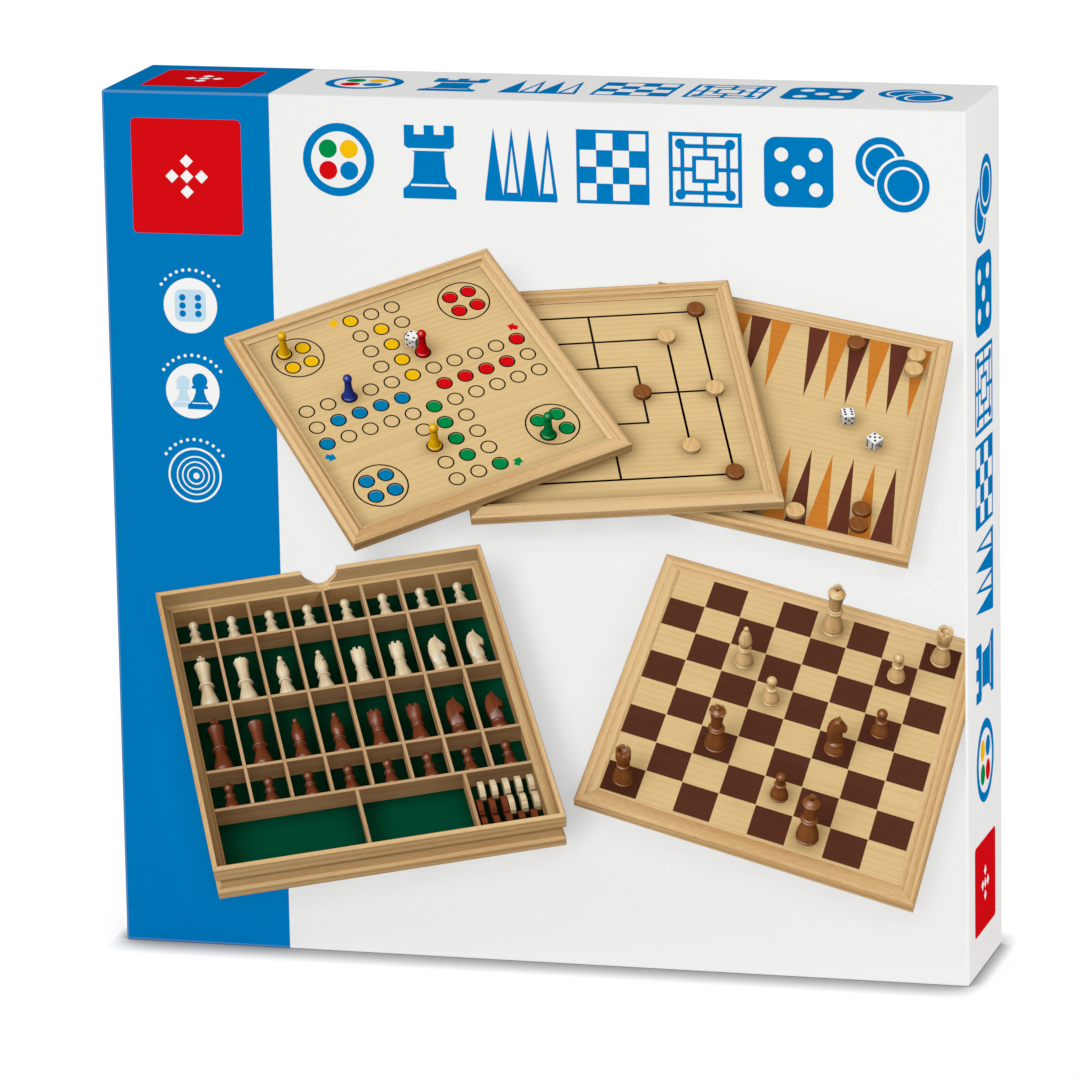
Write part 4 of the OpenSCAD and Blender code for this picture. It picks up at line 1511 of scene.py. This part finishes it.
# %% Work out light and shadow
GLOBE = 26
LAMP = Vector((-0.42, -0.40, 0.82)).normalized()
LAMP_SPREAD = 0.15
ROOM_SHARE = 0.52
BOUNCE = 0.62
BLUR_PASSES = 3
WARM = (1.0, 1.12, 1.26)    # shadows on wood lean to brown, because wood lights wood
globe = []
for i in range(GLOBE):
    height = 1 - 2 * (i + 0.5) / GLOBE
    turn = i * pi * (3 - sqrt(5))
    flat = sqrt(1 - height * height)
    globe.append(Vector((flat * cos(turn), flat * sin(turn), height)))
lamp_side = LAMP.cross(Vector((0, 0, 1))).normalized()
lamp_up = lamp_side.cross(LAMP)
lamp_rays = [(LAMP + lamp_side * x + lamp_up * y).normalized()
             for x, y in arc(0, 0, LAMP_SPREAD, 20, 308, 4) + [(0, 0)]]
stage.normal_update()
shadow_casters = BVHTree.FromBMesh(stage)
stage = joined([stage, *stage_prints])
stage.normal_update()


def is_free(start, way, *reach):
    return shadow_casters.ray_cast(start, way, *reach)[0] is None


def light_on(place, normal, reach=170):
    """How brightly a point is lit: 1 on an open, level surface."""
    start = place + normal * 0.35
    gathered = whole = 0.0
    for ray in globe:
        share = ray.dot(normal)
        if share > 0.06:
            whole += share
            if is_free(start, ray, reach):
                gathered += share * (1 if ray.z > 0 else BOUNCE)
    lamp = 0.0
    if normal.dot(LAMP) > 0:
        free = sum(is_free(start, ray, 2 * reach) for ray in lamp_rays)
        lamp = free / len(lamp_rays) * normal.dot(LAMP) / LAMP.z
    return ROOM_SHARE * gathered / whole + (1 - ROOM_SHARE) * lamp


def highlight(place, normal):
    """A small soft highlight on polished, round pieces."""
    half_way = (LAMP + (eye - place).normalized()).normalized()
    return 0.4 * max(0.0, normal.dot(half_way)) ** 30


def in_sight(face, middle):
    """Whether the eye sees a face's middle or a place close to one of its corners."""
    for place in [middle] + [vert.co.lerp(middle, 0.1) for vert in face.verts]:
        start = place + face.normal * 0.2
        if is_free(start, (eye - start).normalized()):
            return True
    return False


hidden = []
behind = []
seen_verts = set()
for face in stage.faces:
    middle = face.calc_center_median()
    if face.normal.dot(eye - middle) <= 0:
        hidden.append(face)
    elif in_sight(face, middle):
        seen_verts.update(face.verts)
    else:
        behind.append(face)
hidden += [face for face in behind if not seen_verts.intersection(face.verts)]
bmesh.ops.delete(stage, geom=hidden, context="FACES")


def corners_of(face):
    """Each corner of a face with its normal and a key that equal corners share."""
    found = []
    for loop in face.loops:
        normal = loop.vert.normal if face.smooth else face.normal
        found.append((loop, normal, (loop.vert.index, *[round(c, 2) for c in normal])))
    return found


stage.verts.index_update()
lit, shine, beside = {}, {}, {}
for face in stage.faces:
    middle = face.calc_center_median()
    corners = corners_of(face)
    keys = [key for loop, normal, key in corners]
    for i, (loop, normal, key) in enumerate(corners):
        if key not in lit:
            place = loop.vert.co.lerp(middle, 0.04)
            lit[key] = light_on(place, normal)
            shine[key] = highlight(place, normal) if face.smooth else 0
            beside[key] = {key}
        if not face.smooth:
            beside[key].update((keys[i - 1], keys[(i + 1) % len(keys)]))
for _ in range(BLUR_PASSES):
    lit = {key: sum(lit[k] for k in near) / len(near) for key, near in beside.items()}
ink = stage.loops.layers.float_color["ink"]
for face in stage.faces:
    for loop, normal, key in corners_of(face):
        warmed = [c * lit[key] ** power + shine[key] for c, power in zip(loop[ink], WARM)]
        loop[ink] = (*[min(c, 0.9) for c in warmed], loop[ink][3])
print("shown:", len(stage.faces), "faces, lit at", len(lit), "corners")

# %% [markdown]
# ## Press the picture on the card
# The white floor of the stage is the card itself, so only its shadows are printed: a
# fine grid in which every cell that lies in full light is left out. Over the blue
# stripe the same shadow darkens blue. Towards the picture's edges it fades away, and
# the picture runs off the card at the right fold, where it is cut.

# %% Print the picture
SHADOW_CELL = 2.0
SHADOW_DEPTH = 0.5
GROUND_REACH = 34.0
BLUR_REACH = 2
FADE = 14.0
FOLD_EDGE = 160.0
PICTURE_FLOOR = 0.03
LOW_EDGE, HIGH_EDGE, LEFT_EDGE = 4.0, 276.0, -152.0
UP = Vector((0, 0, 1))
stripe_edge = STRIPE_X / MM
columns = range(int((LEFT_EDGE - stripe_edge) / SHADOW_CELL),
                int((FOLD_EDGE - stripe_edge) / SHADOW_CELL) + 1)
rows = range(int((HIGH_EDGE - LOW_EDGE) / SHADOW_CELL))
grid = [(column, row) for column in [*columns, columns.stop] for row in [*rows, rows.stop]]


def cell_place(column, row):
    return stripe_edge + column * SHADOW_CELL, LOW_EDGE + row * SHADOW_CELL


floor_light = {}
for corner in grid:
    point = floor_point(*cell_place(*corner))
    if is_free(point + UP * 0.2, (eye - point).normalized()):
        floor_light[corner] = light_on(point, UP, GROUND_REACH)
full_light = max(floor_light.values())
around = range(-BLUR_REACH, BLUR_REACH + 1)
ground_shade = {}
for column, row in grid:
    near = [floor_light[column + c, row + r] for c in around for r in around
            if (column + c, row + r) in floor_light]
    if near:
        x, y = cell_place(column, row)
        margin = max(0.0, min(x - LEFT_EDGE, y - LOW_EDGE, HIGH_EDGE - y))
        depth = max(0.0, full_light - sum(near) / len(near) - 0.01) * min(1.0, margin / FADE)
        ground_shade[column, row] = 1 - SHADOW_DEPTH * depth

shadow_print = Print()
for column in columns:
    for row in rows:
        corners = [(column, row), (column + 1, row), (column + 1, row + 1), (column, row + 1)]
        shades = [ground_shade.get(corner) for corner in corners]
        if None not in shades and min(shades) < 1.0:
            verts = [shadow_print.mesh.verts.new((*cell_place(*corner), 0.01))
                     for corner in corners]
            ground = BLUE if column < 0 else PAPER
            for loop, shade in zip(shadow_print.mesh.faces.new(verts).loops, shades):
                loop[shadow_print.ink] = (*[g * shade for g in ground], 0)
bmesh.ops.remove_doubles(shadow_print.mesh, verts=shadow_print.mesh.verts, dist=0.001)
for vert in stage.verts:
    vert.co = on_card(vert.co) + UP * PICTURE_FLOOR
picture = joined([stage, shadow_print.mesh])
cut_across(picture, everything(picture), (FOLD_EDGE, 0, 0), (1, 0, 0), clear_outer=True)
print("picture:", len(picture.faces), "faces, stands out",
      round(max(v.co.z for v in picture.verts), 2), "mm")
picture.transform(FRONT_WALL)
picture_film = printed_card("laminated_picture", 0.38, 0.015, True)
add_piece("lid_picture", picture, "lid", picture_film)
